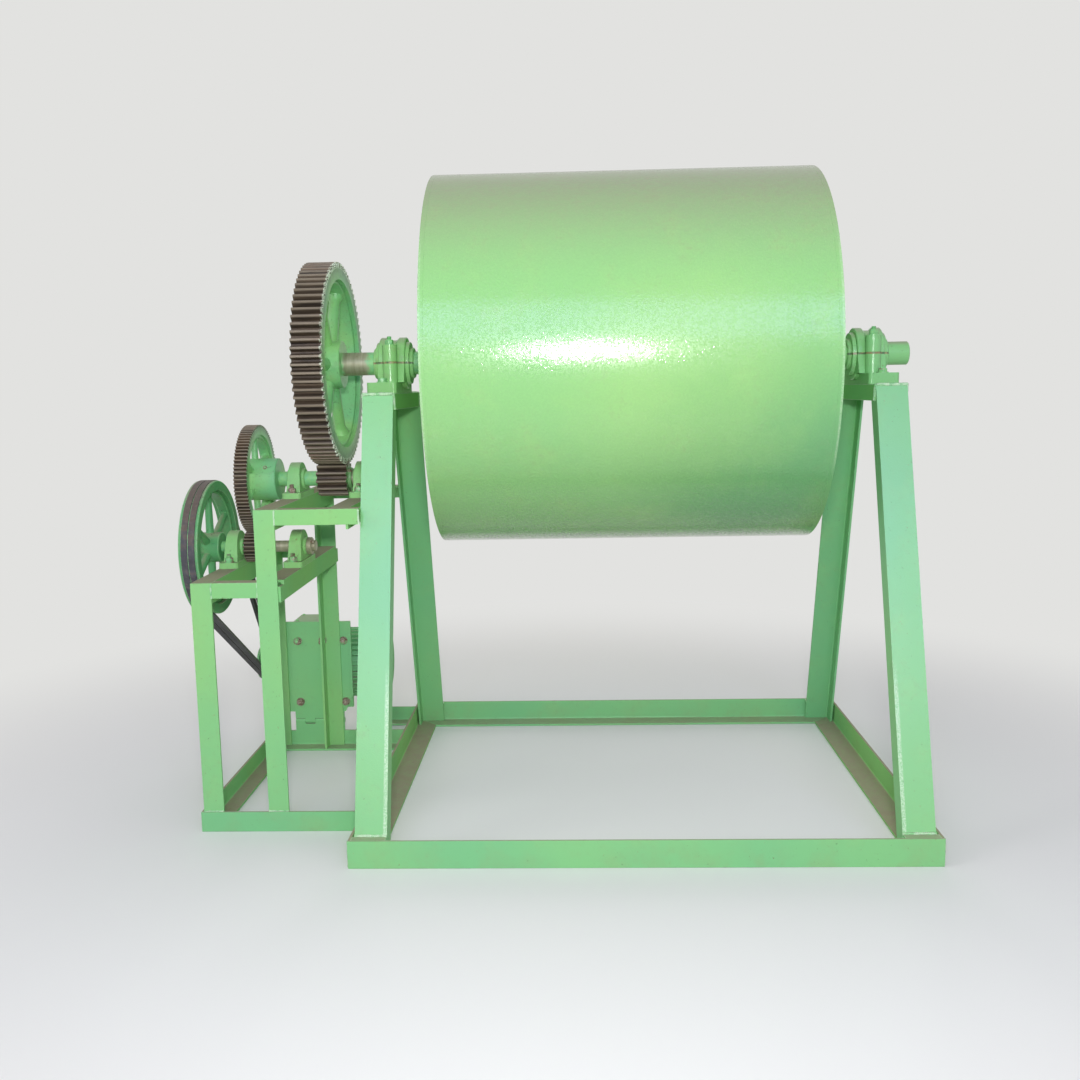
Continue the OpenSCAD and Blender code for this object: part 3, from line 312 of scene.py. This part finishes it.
# painted wheels with bare, greasy teeth
def gearIron(name, axis, module, teeth, end):
    iron = Finish(name)
    across = iron.facing()[0]
    x, y, z = iron.parts(iron.place())
    reach = ((y - axis.y) ** 2 + (z - axis.z) ** 2) ** 0.5
    tip = module * (teeth / 2 + gearForm["tip"])
    root = module * (teeth / 2 - gearForm["root"])
    fine = iron.noise(70.0, 5.0, 0.65)
    broad = iron.noise(7.0, 3.0)
    streaks = iron.noise(60.0, 4.0, 0.6, (0.12, 1.0, 1.0))
    toothed = reach.rise(root - module * 0.4, root - module * 0.1)
    bare = toothed * (1 - abs(across).rise(0.45, 0.75))
    ridge = reach.rise(tip - module * 0.7, tip - module * 0.05)
    grease = streaks.rise(0.3, 0.7).blend(linear(54, 47, 39), linear(94, 80, 62))
    grease = (ridge * (0.45 + streaks * 0.6)).blend(grease, linear(142, 131, 112))
    grease = (broad.rise(0.55, 0.7) * 0.35).blend(grease, linear(120, 92, 70))
    paint = broad.rise(0.35, 0.65).blend(tones["mint"], tones["leaf"])
    paint = (fine.rise(0.5, 0.8) * 0.3).blend(paint, tones["sand"])
    # the paint is darker in a band next to the teeth and on the tooth ends
    darkNearTeeth = reach.rise(root - module * gearForm["sootBand"], root) * (0.25 + fine * 0.5) | toothed * 0.55
    paint = darkNearTeeth.blend(paint, tones["soot"])
    flaked = iron.noise(170.0, 6.0, 0.72).rise(0.62, 0.64)
    worn = flaked * (0.6 + toothed * 0.4)
    paint = worn.blend(paint, linear(84, 92, 70))
    flecks = toothed * iron.noise(330.0, 2.0).rise(0.55, 0.6)
    paint = (flecks * 0.7).blend(paint, tones["fleck"])
    colour = bare.blend(paint, grease)
    start, stop = gearForm["lip"]
    lip = toothed * x.rise(end - start, end - stop) * iron.noise(240.0, 2.0).rise(0.42, 0.56)
    colour = (lip * 0.75).blend(colour, tones["fleck"])
    normal = iron.bump(iron.noise(130.0, 5.0, 0.6), 0.0006)
    normal = iron.bump(streaks, 0.0005, normal)
    normal = iron.bump(flaked * (1 - bare), -0.0004, normal)
    roughness = 0.28 + bare * 0.14 + fine * 0.18 + worn * 0.2
    return iron.wear(BaseColor=colour, Roughness=roughness, Normal=normal, Metallic=bare * 0.35)


for name, sizes in gearSizes.items():
    finishes[name] = gearIron(name + "Iron", end=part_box(name)[1].x, **sizes)

# stretches along X where a shaft shows bare steel; the rest is oversprayed green
bareStretches = {
    "shaft_left": [(-0.535, -0.475)],
    "upper_shaft": [(-0.56, -0.52)],
    "lower_shaft": [(-0.78, -0.69), (-0.652, -0.60)],
}


def shaftSteel(name, stretches):
    steel = Finish(name)
    x = steel.parts(steel.place())[0]
    fine = steel.noise(80.0, 5.0, 0.6)
    rings = steel.noise(90.0, 3.0, 0.6, (1.0, 0.08, 0.08))
    bare = None
    for start, stop in stretches:
        away = abs(x - (start + stop) / 2) + (fine - 0.5) * 0.03
        half = (stop - start) / 2
        stretch = away.rise(half + 0.012, half - 0.004)
        bare = bare | stretch if bare else stretch
    metal = rings.rise(0.3, 0.7).blend(linear(150, 150, 122), linear(176, 172, 146))
    metal = (fine.rise(0.5, 0.75) * 0.25).blend(metal, linear(120, 98, 74))
    paint = fine.rise(0.3, 0.7).blend(tones["leaf"], tones["mint"])
    colour = bare.blend(paint, metal)
    normal = steel.bump(rings, 0.0003)
    normal = steel.bump(bare, -0.0002, normal)
    roughness = 0.3 + fine * 0.15 + bare * 0.08
    return steel.wear(BaseColor=colour, Roughness=roughness, Normal=normal, Metallic=bare * 0.55)


for name, stretches in bareStretches.items():
    finishes[name] = shaftSteel(name + "Steel", stretches)


def beltRubber(name):
    belt = Finish(name)
    across, _, facesUp = belt.facing()
    fine = belt.noise(120.0, 5.0, 0.6)
    broad = belt.noise(8.0, 3.0)
    colour = broad.rise(0.3, 0.7).blend(linear(56, 56, 60), linear(82, 82, 86))
    side = abs(across).rise(0.7, 0.95)
    colour = (side * 0.5).blend(colour, linear(104, 98, 92))
    colour = (fine.rise(0.5, 0.8) * 0.5).blend(colour, linear(130, 122, 112))
    colour = (facesUp.rise(0.1, 0.9) * (0.3 + fine * 0.5)).blend(colour, linear(122, 106, 92))
    normal = belt.bump(belt.noise(700.0, 2.0), 0.0002)
    return belt.wear(BaseColor=colour, Roughness=0.5 + fine * 0.3, Normal=normal)


finishes["beltRubber"] = beltRubber("beltRubber")

# bolts, nuts and keys: the share of the metal that paint hides
boltPaint = {"rustyBolts": 0.48, "paintedBolts": 0.66, "bareKeys": 0.1}


def boltSteel(name, covered):
    steel = Finish(name)
    fine = steel.noise(220.0, 5.0, 0.65)
    broad = steel.noise(30.0, 3.0)
    rust = fine.rise(0.35, 0.65).blend(linear(168, 158, 142), linear(118, 90, 68))
    paint = fine.rise(0.3, 0.7).blend(tones["leaf"], tones["mint"])
    painted = (broad + (fine - 0.5) * 0.4).rise(1 - covered, 1.08 - covered)
    colour = painted.blend(rust, paint)
    normal = steel.bump(fine, 0.0003)
    roughness = 0.55 - painted * 0.26 + fine * 0.1
    return steel.wear(BaseColor=colour, Roughness=roughness, Normal=normal, Metallic=(1 - painted) * 0.3)


for name, covered in boltPaint.items():
    finishes[name] = boltSteel(name, covered)
print("metals and rubber made")

# bevel of the edges: width in metres, and segments
edges = {
    "angles": (0.0012, 2),
    "legs": (0.0018, 3),
    "castings": (0.0018, 2),
    "teeth": (0.0003, 1),
    "turned": (0.0006, 2),
    "drum": (0.0003, 2),
}
# finish of the faces, finish of the bevels, kind of edge, and the nodes that wear them
outfits = [
    ("standEnamel", "edgeEnamel", "angles",
     ["base_rail_front", "base_rail_back", "leg_back_left", "leg_back_right", "foot_plates",
      "drive_base_front", "drive_base_back", "back_tie", "plate_hinge", "motor_plate"]),
    ("dustyBeamEnamel", "edgeEnamel", "angles",
     ["base_rail_left", "base_rail_right", "drive_base_left", "seat_beam_left", "seat_beam_right",
      "lower_rails", "upper_rails", "lower_bearing_beams", "upper_bearing_beams"]),
    ("warmEnamel", "edgeEnamel", "angles", ["outer_posts", "inner_posts"]),
    ("legEnamel", "legEdgeEnamel", "legs", ["leg_front_left", "leg_front_right"]),
    ("bearingEnamel", "edgeEnamel", "castings",
     ["bearing_base_left", "bearing_base_right", "bearing_cap_left", "bearing_cap_right"]),
    ("castEnamel", "edgeEnamel", "castings", ["lower_blocks", "upper_blocks"]),
    ("pulleyEnamel", "edgeEnamel", "castings", ["belt_pulley", "motor_pulley"]),
    ("drumEnamel", "drumEnamel", "drum", ["drum_shell", "drum_end_left", "drum_end_right"]),
    ("standEnamel", "edgeEnamel", "turned", ["charging_cover"]),
    ("warmEnamel", "edgeEnamel", "turned", ["shaft_right"]),
    ("motorEnamel", "edgeEnamel", "turned", ["motor"]),
    ("beltRubber", "beltRubber", "turned", ["belts"]),
]
outfits += [(name, name, "teeth", [name]) for name in gearSizes]
outfits += [(name, name, "turned", [name]) for name in bareStretches]
mending = {"gap": 0.00002, "sharp": math.radians(35), "weight": 90}


def dress(name, faces, bevels, kind):
    node = nodes[name]
    node.data.materials.clear()
    node.data.materials.append(finishes[faces])
    node.data.materials.append(finishes[bevels])
    weld = node.modifiers.new("weld", "WELD")
    weld.merge_threshold = mending["gap"]
    bevel = node.modifiers.new("edges", "BEVEL")
    bevel.width, bevel.segments = edges[kind]
    bevel.limit_method = "ANGLE"
    bevel.angle_limit = mending["sharp"]
    bevel.material = 1
    bevel.miter_outer = "MITER_ARC"
    normals = node.modifiers.new("normals", "WEIGHTED_NORMAL")
    normals.keep_sharp = False
    normals.weight = mending["weight"]


for faces, bevels, kind, names in outfits:
    for name in names:
        dress(name, faces, bevels, kind)
print("nodes dressed")

# washer: thickness and radius; hexagon: height and width over its flats; stud: where its thread
# starts and stops above the seat
fasteners = {
    "capNut": {"washer": (0.002, 0.012), "hexagon": (0.011, 0.019), "stud": (0.012, 0.021)},
    "footBolt": {"washer": (0.0025, 0.0145), "hexagon": (0.0085, 0.020)},
    "blockNut": {"washer": (0.002, 0.0125), "hexagon": (0.0105, 0.019), "stud": (0.012, 0.022)},
    "flangeBolt": {"washer": (0.003, 0.017), "hexagon": (0.010, 0.024)},
    "coverBolt": {"washer": (0.0025, 0.0135), "hexagon": (0.008, 0.019)},
    "plateNut": {"washer": (0.002, 0.0125), "hexagon": (0.0095, 0.019), "stud": (0.011, 0.016)},
    "motorBolt": {"washer": (0.002, 0.0125), "hexagon": (0.0075, 0.019)},
    "tensionNut": {"washer": (0.002, 0.013), "hexagon": (0.0095, 0.019), "stud": (0.011, 0.034)},
}
threadForm = {"radius": 0.006, "pitch": 0.0017, "root": 0.86, "end": 0.6, "sides": 14}


def ring(height, radius, sides):
    angles = [k * math.tau / sides for k in range(sides)]
    return [(radius * math.cos(a), radius * math.sin(a), height) for a in angles]


def aim(point, direction, turn=0.0):
    # place whose own Z runs along the direction
    tilt = Vector(direction).to_track_quat("Z", "Y").to_matrix().to_4x4()
    return Matrix.Translation(point) @ tilt @ Matrix.Rotation(turn, 4, "Z")


# small pieces are gathered in piles and joined into one mesh each
class Pile:
    def __init__(self):
        self.mesh = bmesh.new()

    def stack(self, place, rings):
        # closed solid through rings of points, all with the same count
        loops = [[self.mesh.verts.new(place @ Vector(point)) for point in points] for points in rings]
        for low, high in zip(loops, loops[1:]):
            for i in range(len(low)):
                j = (i + 1) % len(low)
                self.mesh.faces.new((low[i], low[j], high[j], high[i]))
        self.mesh.faces.new(loops[0][::-1])
        self.mesh.faces.new(loops[-1])

    def turned(self, place, profile, sides=20):
        self.stack(place, [ring(height, radius, sides) for height, radius in profile])

    def hexagon(self, place, start, height, flats, sides=24):
        # its corners are chamfered by a cone, at the top and a little at the bottom
        rings = []
        for share, cap in ((0, 1.06), (0.08, 1.3), (0.8, 1.3), (1, 0.98)):
            points = []
            for k in range(sides):
                angle = k * math.tau / sides
                corner = angle % (math.pi / 3) - math.pi / 6
                radius = min(flats / 2 / math.cos(corner), flats / 2 * cap)
                points.append((radius * math.cos(angle), radius * math.sin(angle), start + share * height))
            rings.append(points)
        self.stack(place, rings)

    def washer(self, place, thickness, radius):
        rim = thickness * 0.2
        self.turned(place, [(0, radius), (thickness - rim, radius), (thickness, radius - rim)])

    def thread(self, place, start, stop):
        form = threadForm
        count = max(2, round((stop - start) / form["pitch"]))
        step = (stop - start) / count
        outer = form["radius"]
        profile = [(start, outer * form["root"])]
        for k in range(count):
            profile.append((start + (k + 0.5) * step, outer))
            profile.append((start + (k + 1) * step, outer * form["root"]))
        profile.append((stop + outer * 0.1, outer * form["end"]))
        self.turned(place, profile, form["sides"])

    def fasten(self, kind, point, direction, turn=None):
        sizes = fasteners[kind]
        place = aim(point, direction, random.uniform(0, 1) if turn is None else turn)
        height, flats = sizes["hexagon"]
        self.washer(place, *sizes["washer"])
        self.hexagon(place, sizes["washer"][0], height, flats)
        if "stud" in sizes:
            self.thread(place, *sizes["stud"])

    def panHead(self, point, direction, radius):
        profile = [(-0.001, radius), (radius * 0.35, radius), (radius * 0.62, radius * 0.8),
                   (radius * 0.75, radius * 0.4), (radius * 0.45, radius * 0.25)]
        self.turned(aim(point, direction), profile, 16)

    def piece(self, name, body, finish, sharp=35):
        data = bpy.data.meshes.new(name)
        bmesh.ops.recalc_face_normals(self.mesh, faces=self.mesh.faces)
        for face in self.mesh.faces:
            face.smooth = True
        self.mesh.to_mesh(data)
        self.mesh.free()
        data.set_sharp_from_angle(angle=math.radians(sharp))
        data.materials.append(finishes[finish])
        made = bpy.data.objects.new(name, data)
        bpy.context.scene.collection.objects.link(made)
        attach(made, body)


random.seed(7)

# cap studs and foot bolts of the main bearings, from the shaft and from the foot's end
bearingBolts = {"capReach": 0.085, "capTop": 0.045, "footReach": 0.118, "footTop": 0.028, "footHalf": 0.038}


def mainBearingBolts():
    sizes = bearingBolts
    pile = Pile()
    for side in ("left", "right"):
        low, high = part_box("bearing_base_" + side)
        capLow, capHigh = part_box("bearing_cap_" + side)
        body = (capLow.x + capHigh.x) / 2
        foot = low.x + sizes["footHalf"] if side == "left" else high.x - sizes["footHalf"]
        for way in (-1, 1):
            pile.fasten("capNut", Vector((body, way * sizes["capReach"], drumAxis.z + sizes["capTop"])), up)
            pile.fasten("footBolt", Vector((foot, way * sizes["footReach"], low.z + sizes["footTop"])), up)
    pile.piece("bearingBolts", "stand", "paintedBolts")


mainBearingBolts()

# studs and nuts of the pillow blocks
blockBolts = {"reach": 0.067, "footHalf": 0.025, "sole": 0.015}


def pillowBolts(name, depth):
    sizes = blockBolts
    pile = Pile()
    low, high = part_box(name)
    for x in (low.x + sizes["footHalf"], high.x - sizes["footHalf"]):
        for way in (-1, 1):
            pile.fasten("blockNut", Vector((x, depth + way * sizes["reach"], low.z + sizes["sole"])), up)
    pile.piece(name + "Nuts", "stand", "rustyBolts")


pillowBolts("lower_blocks", lowerAxis.y)
pillowBolts("upper_blocks", upperAxis.y)

# bolts on the hub flanges, halfway from hub to rim, and on the charging cover
drumBolts = {"hub": 0.118, "flange": 0.29, "flangeThickness": 0.014, "coverReach": 0.156,
             "coverThickness": 0.012, "count": 8}


def drumFastenings():
    sizes = drumBolts
    pile = Pile()
    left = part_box("drum_end_left")[0].x - sizes["flangeThickness"]
    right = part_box("drum_end_right")[1].x + sizes["flangeThickness"]
    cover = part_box("charging_cover")
    seat = Vector(((cover[0].x + cover[1].x) / 2, cover[0].y + sizes["coverThickness"], drumAxis.z))
    flangeReach = (sizes["hub"] + sizes["flange"]) / 4
    for k in range(sizes["count"]):
        angle = (k + 0.5) * math.tau / sizes["count"]
        reach = Vector((0, math.cos(angle), math.sin(angle))) * flangeReach
        for x, way in ((left, -1), (right, 1)):
            pile.fasten("flangeBolt", Vector((x, 0, drumAxis.z)) + reach, (way, 0, 0))
        reach = Vector((math.cos(angle), 0, math.sin(angle))) * sizes["coverReach"]
        pile.fasten("coverBolt", seat + reach, (0, 1, 0))
    pile.piece("drumBolts", "drum", "paintedBolts")


drumFastenings()

# motor bolts, with their nuts in front of the plate, and two tension studs through the posts:
# these are given by their place across, from the pulley's left face, and their height
plateBolts = {"thickness": 0.008, "post": 0.006, "foot": 0.012, "tension": [(0.0845, 0.339), (0.2305, 0.334)],
              "tensionTurn": 0.3}
motorFeet = {"shoulder": 0.082, "first": 0.070, "pitch": 0.140, "gauge": 0.190, "height": 0.236}


def motorBolts():
    sizes, feet = plateBolts, motorFeet
    pile = Pile()
    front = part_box("motor_plate")[0].y
    back = front + sizes["thickness"] + sizes["foot"]
    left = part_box("belt_pulley")[0].x
    first = left + feet["shoulder"] + feet["first"]
    for x in (first, first + feet["pitch"]):
        for way in (-1, 1):
            z = feet["height"] + way * feet["gauge"] / 2
            pile.fasten("plateNut", Vector((x, front, z)), (0, -1, 0))
            pile.fasten("motorBolt", Vector((x, back, z)), (0, 1, 0))
    for across, z in sizes["tension"]:
        seat = Vector((left + across, front - sizes["post"], z))
        pile.fasten("tensionNut", seat, (0, -1, 0), sizes["tensionTurn"])
    pile.piece("motorBolts", "stand", "rustyBolts")


motorBolts()

# keys in the ends of the shafts, and set screws in the hub and the collars
keySizes = {"width": 0.012, "height": 0.008, "length": 0.02, "proud": 0.0014, "chamfer": 0.0008}
setScrewSizes = {"radius": 0.0055, "socket": 0.003, "depth": 0.004, "proud": 0.0008, "sides": 18}
shaftRadii = {"drum": 0.030, "upper": 0.020, "lower": 0.015}
# distance from the end of the node, radius of the hub or collar, angle above the level in degrees
setScrews = {"hub": (0.055, 0.056, 38), "pinion": (0.005, 0.028, 50), "collar": (0.007, 0.023, 40)}


def keyEnd(pile, x, axis, radius):
    sizes = keySizes
    place = aim(Vector((x, axis.y, axis.z + radius)), (-1, 0, 0))
    rings = []
    for along, inset in ((-sizes["length"], 0), (sizes["proud"] - sizes["chamfer"], 0),
                         (sizes["proud"], sizes["chamfer"])):
        half, rise = sizes["width"] / 2 - inset, sizes["height"] / 2 - inset
        rings.append([(-half, -rise, along), (half, -rise, along), (half, rise, along), (-half, rise, along)])
    pile.stack(place, rings)


def setScrew(pile, x, axis, radius, degrees):
    sizes = setScrewSizes
    angle = math.radians(degrees)
    way = Vector((0, -math.cos(angle), math.sin(angle)))
    outer, socket = sizes["radius"], sizes["socket"]
    place = aim(Vector((x, axis.y, axis.z)) + way * radius, way)
    pile.turned(place, [(-sizes["depth"], outer), (sizes["proud"] / 2, outer), (sizes["proud"], outer * 0.9),
                        (sizes["proud"], socket), (-sizes["depth"] / 2, socket * 0.95)], sizes["sides"])


def drumKey():
    pile = Pile()
    keyEnd(pile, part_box("bull_gear")[0].x, drumAxis, shaftRadii["drum"])
    pile.piece("drumKey", "drum", "bareKeys")


def upperShaftFixings():
    pile = Pile()
    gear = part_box("second_gear")[0].x
    keyEnd(pile, gear, upperAxis, shaftRadii["upper"])
    along, radius, degrees = setScrews["hub"]
    setScrew(pile, gear + along, upperAxis, radius, degrees)
    along, radius, degrees = setScrews["pinion"]
    setScrew(pile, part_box("bull_pinion")[1].x - along, upperAxis, radius, degrees)
    pile.piece("upperShaftFixings", "upper_countershaft", "bareKeys")


def lowerShaftFixings():
    pile = Pile()
    keyEnd(pile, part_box("belt_pulley")[0].x, lowerAxis, shaftRadii["lower"])
    along, radius, degrees = setScrews["collar"]
    setScrew(pile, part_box("lower_shaft")[1].x - along, lowerAxis, radius, degrees)
    pile.piece("lowerShaftFixings", "lower_countershaft", "bareKeys")


drumKey()
upperShaftFixings()
lowerShaftFixings()

# screws of the terminal box and the fan cowl, and the plug in the cable entry
motorTrim = {"depth": 0.112, "boxMiddle": 0.094, "lidTop": 0.142, "screwReach": 0.042, "screw": 0.0045,
             "entryReach": 0.048, "entryHeight": 0.119, "entryHexagon": (-0.001, 0.007, 0.022),
             "plug": [(0.006, 0.0085), (0.012, 0.0085), (0.0135, 0.007)], "cowlRadius": 0.1015,
             "cowlBack": 0.070, "cowlScrews": 4}


def motorFittings():
    sizes = motorTrim
    pile = Pile()
    low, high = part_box("motor")
    middle = Vector((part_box("belt_pulley")[0].x + motorFeet["shoulder"] + sizes["boxMiddle"],
                     low.y + sizes["depth"], motorFeet["height"]))
    for across in (-1, 1):
        for along in (-1, 1):
            corner = Vector((across * sizes["screwReach"], along * sizes["screwReach"], sizes["lidTop"]))
            pile.panHead(middle + corner, up, sizes["screw"])
    entry = aim(middle + Vector((0, sizes["entryReach"], sizes["entryHeight"])), (0, 1, 0))
    pile.hexagon(entry, *sizes["entryHexagon"])
    pile.turned(entry, sizes["plug"])
    for k in range(sizes["cowlScrews"]):
        turn = math.tau * (k + 0.5) / sizes["cowlScrews"]
        way = Vector((0, math.cos(turn), math.sin(turn)))
        seat = Vector((high.x - sizes["cowlBack"], middle.y, middle.z)) + way * sizes["cowlRadius"]
        pile.panHead(seat, way, sizes["screw"])
    pile.piece("motorTrim", "stand", "paintedBolts")


motorFittings()
print("fastenings made")

# weld beads are rippled ropes of metal: radii and ripple in metres, the rest in shares of the radius
beads = {"leg": 0.0042, "frame": 0.0026, "rail": 0.0022, "neck": 0.0045, "ripple": 0.0042, "steps": 3,
         "wave": 0.16, "lump": 0.22, "lumpScale": 90, "drift": 0.3, "driftScale": 60, "sides": 7,
         "neckSides": 8, "sharp": 60}
driftShift = Vector((9, 0, 0))


def weldBead(pile, points, radius, sides=beads["sides"]):
    step = beads["ripple"] / beads["steps"]
    rings = []
    travelled = 0.0
    for start, stop in zip(points, points[1:]):
        start, stop = Vector(start), Vector(stop)
        along = (stop - start).normalized()
        if rings:
            first = (first - along * first.dot(along)).normalized()
        else:
            first = along.orthogonal().normalized()
        second = along.cross(first)
        count = max(1, round((stop - start).length / step))
        for k in range(count):
            place = start.lerp(stop, k / count)
            travelled += (stop - start).length / count
            wave = beads["wave"] * math.sin(math.tau * travelled / beads["ripple"])
            swell = radius * (1 + wave + beads["lump"] * noise.noise(place * beads["lumpScale"]))
            spot = place * beads["driftScale"]
            drift = Vector((noise.noise(spot), noise.noise(spot + driftShift), 0)) * radius * beads["drift"]
            centre = place + drift
            angles = [i * math.tau / sides for i in range(sides)]
            rings.append([centre + (first * math.cos(a) + second * math.sin(a)) * swell for a in angles])
    pile.stack(Matrix.Identity(4), rings)


# sizes of the stand that its welds follow
standJoints = {"legTop": 0.225, "wall": 0.006, "base": 0.065, "topRail": 0.038, "clear": 0.001,
               "seatFrom": 0.002, "seatTo": 0.014, "baseFrom": 0.002}


def legWelds(pile, name):
    sizes, radius = standJoints, beads["leg"]
    low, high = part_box(name)
    outer, way = (low.y, 1) if "front" in name else (high.y, -1)
    side = "left" if "left" in name else "right"
    inner, outside = (high.x, low.x) if side == "left" else (low.x, high.x)
    top = high.z
    slope = (abs(outer) - sizes["legTop"]) / (top - low.z)
    foot = outer + way * slope * (sizes["base"] - low.z)
    weldBead(pile, [(outside, foot, sizes["base"]), (inner, foot, sizes["base"])], radius)
    crown = -way * sizes["legTop"]
    lip = top - sizes["clear"]
    weldBead(pile, [(outside, crown, lip), (inner, crown, lip)], radius)
    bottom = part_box("seat_beam_" + side)[0].z
    for x in (inner, outside):
        start = (x, crown + way * sizes["seatFrom"], top)
        weldBead(pile, [start, (x, crown + way * sizes["seatTo"], bottom)], radius)


def baseWelds(pile):
    sizes = standJoints
    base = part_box("base_rail_front")
    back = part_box("base_rail_back")[1].y
    for x in (base[0].x, base[1].x):
        for y in (base[0].y + sizes["wall"], back - sizes["wall"]):
            weldBead(pile, [(x, y, sizes["baseFrom"]), (x, y, sizes["base"])], beads["frame"])


def driveWelds(pile):
    sizes = standJoints
    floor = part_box("drive_base_front")[1].z
    for posts, rails in (("outer_posts", "lower_rails"), ("inner_posts", "upper_rails")):
        post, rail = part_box(posts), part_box(rails)
        left, right = post[0].x, post[1].x
        for y in (post[0].y, post[1].y):
            weldBead(pile, [(right, y, rail[0].z), (right, y, rail[1].z - sizes["clear"])], beads["rail"])
            weldBead(pile, [(left, y, floor), (right, y, floor)], beads["frame"])
    low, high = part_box("upper_rails")
    for y in (low.y, high.y):
        start = (high.x, y, high.z - sizes["topRail"])
        weldBead(pile, [start, (high.x, y, high.z - sizes["clear"])], beads["frame"])


def standWelds():
    pile = Pile()
    for name in ("leg_front_left", "leg_back_left", "leg_front_right", "leg_back_right"):
        legWelds(pile, name)
    baseWelds(pile)
    driveWelds(pile)
    pile.piece("standWelds", "stand", "weldEnamel", beads["sharp"])


neckSizes = {"radius": 0.14, "steps": 72}


def neckWeld():
    # the line where the neck leaves the round shell
    pile = Pile()
    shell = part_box("drum_shell")
    radius = (shell[1].z - shell[0].z) / 2
    middle = (shell[0].x + shell[1].x) / 2
    neck = neckSizes["radius"]
    points = []
    for k in range(neckSizes["steps"] + 1):
        angle = k * math.tau / neckSizes["steps"]
        rise = neck * math.sin(angle)
        y = math.sqrt(radius ** 2 - rise ** 2)
        points.append((middle + neck * math.cos(angle), y, drumAxis.z + rise))
    weldBead(pile, points, beads["neck"], beads["neckSides"])
    pile.piece("neckWeld", "drum", "weldEnamel", beads["sharp"])


standWelds()
neckWeld()
print("welds made")

# camera, from a fit of the base, posts and drum edges to the photograph: pixels, metres and radians
view = {"focal": 1107.478, "frame": 1080, "sensor": 36, "at": (0.08048, -2.94917, 1.08097),
        "yaw": -0.0370188, "pitch": 0.1373207, "roll": -0.0193803}


def makeCamera():
    yaw, pitch, roll = view["yaw"], view["pitch"], view["roll"]
    level = Vector((math.sin(yaw), math.cos(yaw), 0))
    side = Vector((math.cos(yaw), -math.sin(yaw), 0))
    sight = level * math.cos(pitch) - up * math.sin(pitch)
    above = up * math.cos(pitch) + level * math.sin(pitch)
    right = side * math.cos(roll) + above * math.sin(roll)
    top = above * math.cos(roll) - side * math.sin(roll)
    lens = bpy.data.cameras.new("camera")
    lens.sensor_width = view["sensor"]
    lens.lens = view["focal"] * view["sensor"] / view["frame"]
    camera = bpy.data.objects.new("camera", lens)
    camera.matrix_world = Matrix.Translation(view["at"]) @ Matrix((right, top, -sight)).transposed().to_4x4()
    bpy.context.scene.collection.objects.link(camera)
    bpy.context.scene.camera = camera


makeCamera()

# pale floor that fades into the background, and an even light from all round
studio = {"floorRadius": 14, "floorSegments": 96, "floorDrop": 0.0005, "fadeStart": 1.2, "fadeStop": 2.6,
          "pale": linear(226, 226, 224), "floor": linear(234, 233, 230), "floorRoughness": 0.7,
          "bounce": linear(196, 190, 178), "white": (1, 1, 1, 1), "ambient": 0.475}


def makeFloor():
    mesh = bmesh.new()
    bmesh.ops.create_circle(mesh, cap_ends=True, segments=studio["floorSegments"],
                            radius=studio["floorRadius"])
    data = bpy.data.meshes.new("floor")
    mesh.to_mesh(data)
    mesh.free()
    floor = bpy.data.objects.new("floor", data)
    floor.location.z = -studio["floorDrop"]
    bpy.context.scene.collection.objects.link(floor)
    pale = Finish("paleFloor")
    x, y, _ = pale.parts(pale.place())
    away = (x ** 2 + y ** 2) ** 0.5
    fade = away.rise(studio["fadeStart"], studio["fadeStop"])
    pale.wear(BaseColor=studio["floor"], Roughness=studio["floorRoughness"])
    glow = pale.node("Emission", {}, {"Color": studio["pale"]})
    shown = pale.node("MixShader", {}, {0: fade, 1: Wire(pale, pale.shader.outputs[0]), 2: glow})
    dim = pale.node("BsdfDiffuse", {}, {"Color": studio["bounce"]})
    pale.show(pale.node("MixShader", {}, {0: pale.seen(), 1: dim, 2: shown}), "Material Output")
    data.materials.append(pale.material)


def makeWorld():
    world = bpy.data.worlds.new("studio")
    bpy.context.scene.world = world
    world.use_nodes = True
    sky = Graph(world.node_tree)
    light = sky.node("Background", {}, {"Color": studio["white"], "Strength": studio["ambient"]})
    shown = sky.node("Background", {}, {"Color": studio["pale"]})
    sky.show(sky.node("MixShader", {}, {0: sky.seen(), 1: light, 2: shown}), "World Output")


makeFloor()
makeWorld()

# a wide soft panel behind the camera, a small bright one beside it, a soft one on the left, and one
# at the back that lights the far side without a shine of its own
lamps = {
    "skyPanel": {"at": (0.55, -7, 3.75), "towards": (0.55, 0, 1.1), "size": (5.6, 2.9), "watts": 166,
                 "colour": (0.47, 0.51, 1.0)},
    "flashPanel": {"at": (0.11, -3.1, 1.33), "towards": (0, 0, 1.1), "size": (0.28, 0.15), "watts": 48},
    "leftPanel": {"at": (-4.5, -2.5, 3.0), "towards": (-0.3, 0, 0.8), "size": (2.0, 2.0), "watts": 40},
    "backPanel": {"at": (0.4, 5.4, 2.0), "towards": (0, 0, 0.9), "size": (3.6, 2.0), "watts": 85,
                  "shines": False},
}


def makeLamp(name, at, towards, size, watts, colour=(1, 1, 1), shines=True):
    data = bpy.data.lights.new(name, "AREA")
    data.shape = "RECTANGLE"
    data.size, data.size_y = size
    data.energy = watts
    data.color = colour
    lamp = bpy.data.objects.new(name, data)
    lamp.location = at
    lamp.rotation_euler = (Vector(towards) - Vector(at)).to_track_quat("-Z", "Y").to_euler()
    lamp.visible_camera = False
    lamp.visible_glossy = shines
    bpy.context.scene.collection.objects.link(lamp)


for name, settings in lamps.items():
    makeLamp(name, **settings)
bpy.context.scene.view_settings.view_transform = "Standard"
print("studio made")
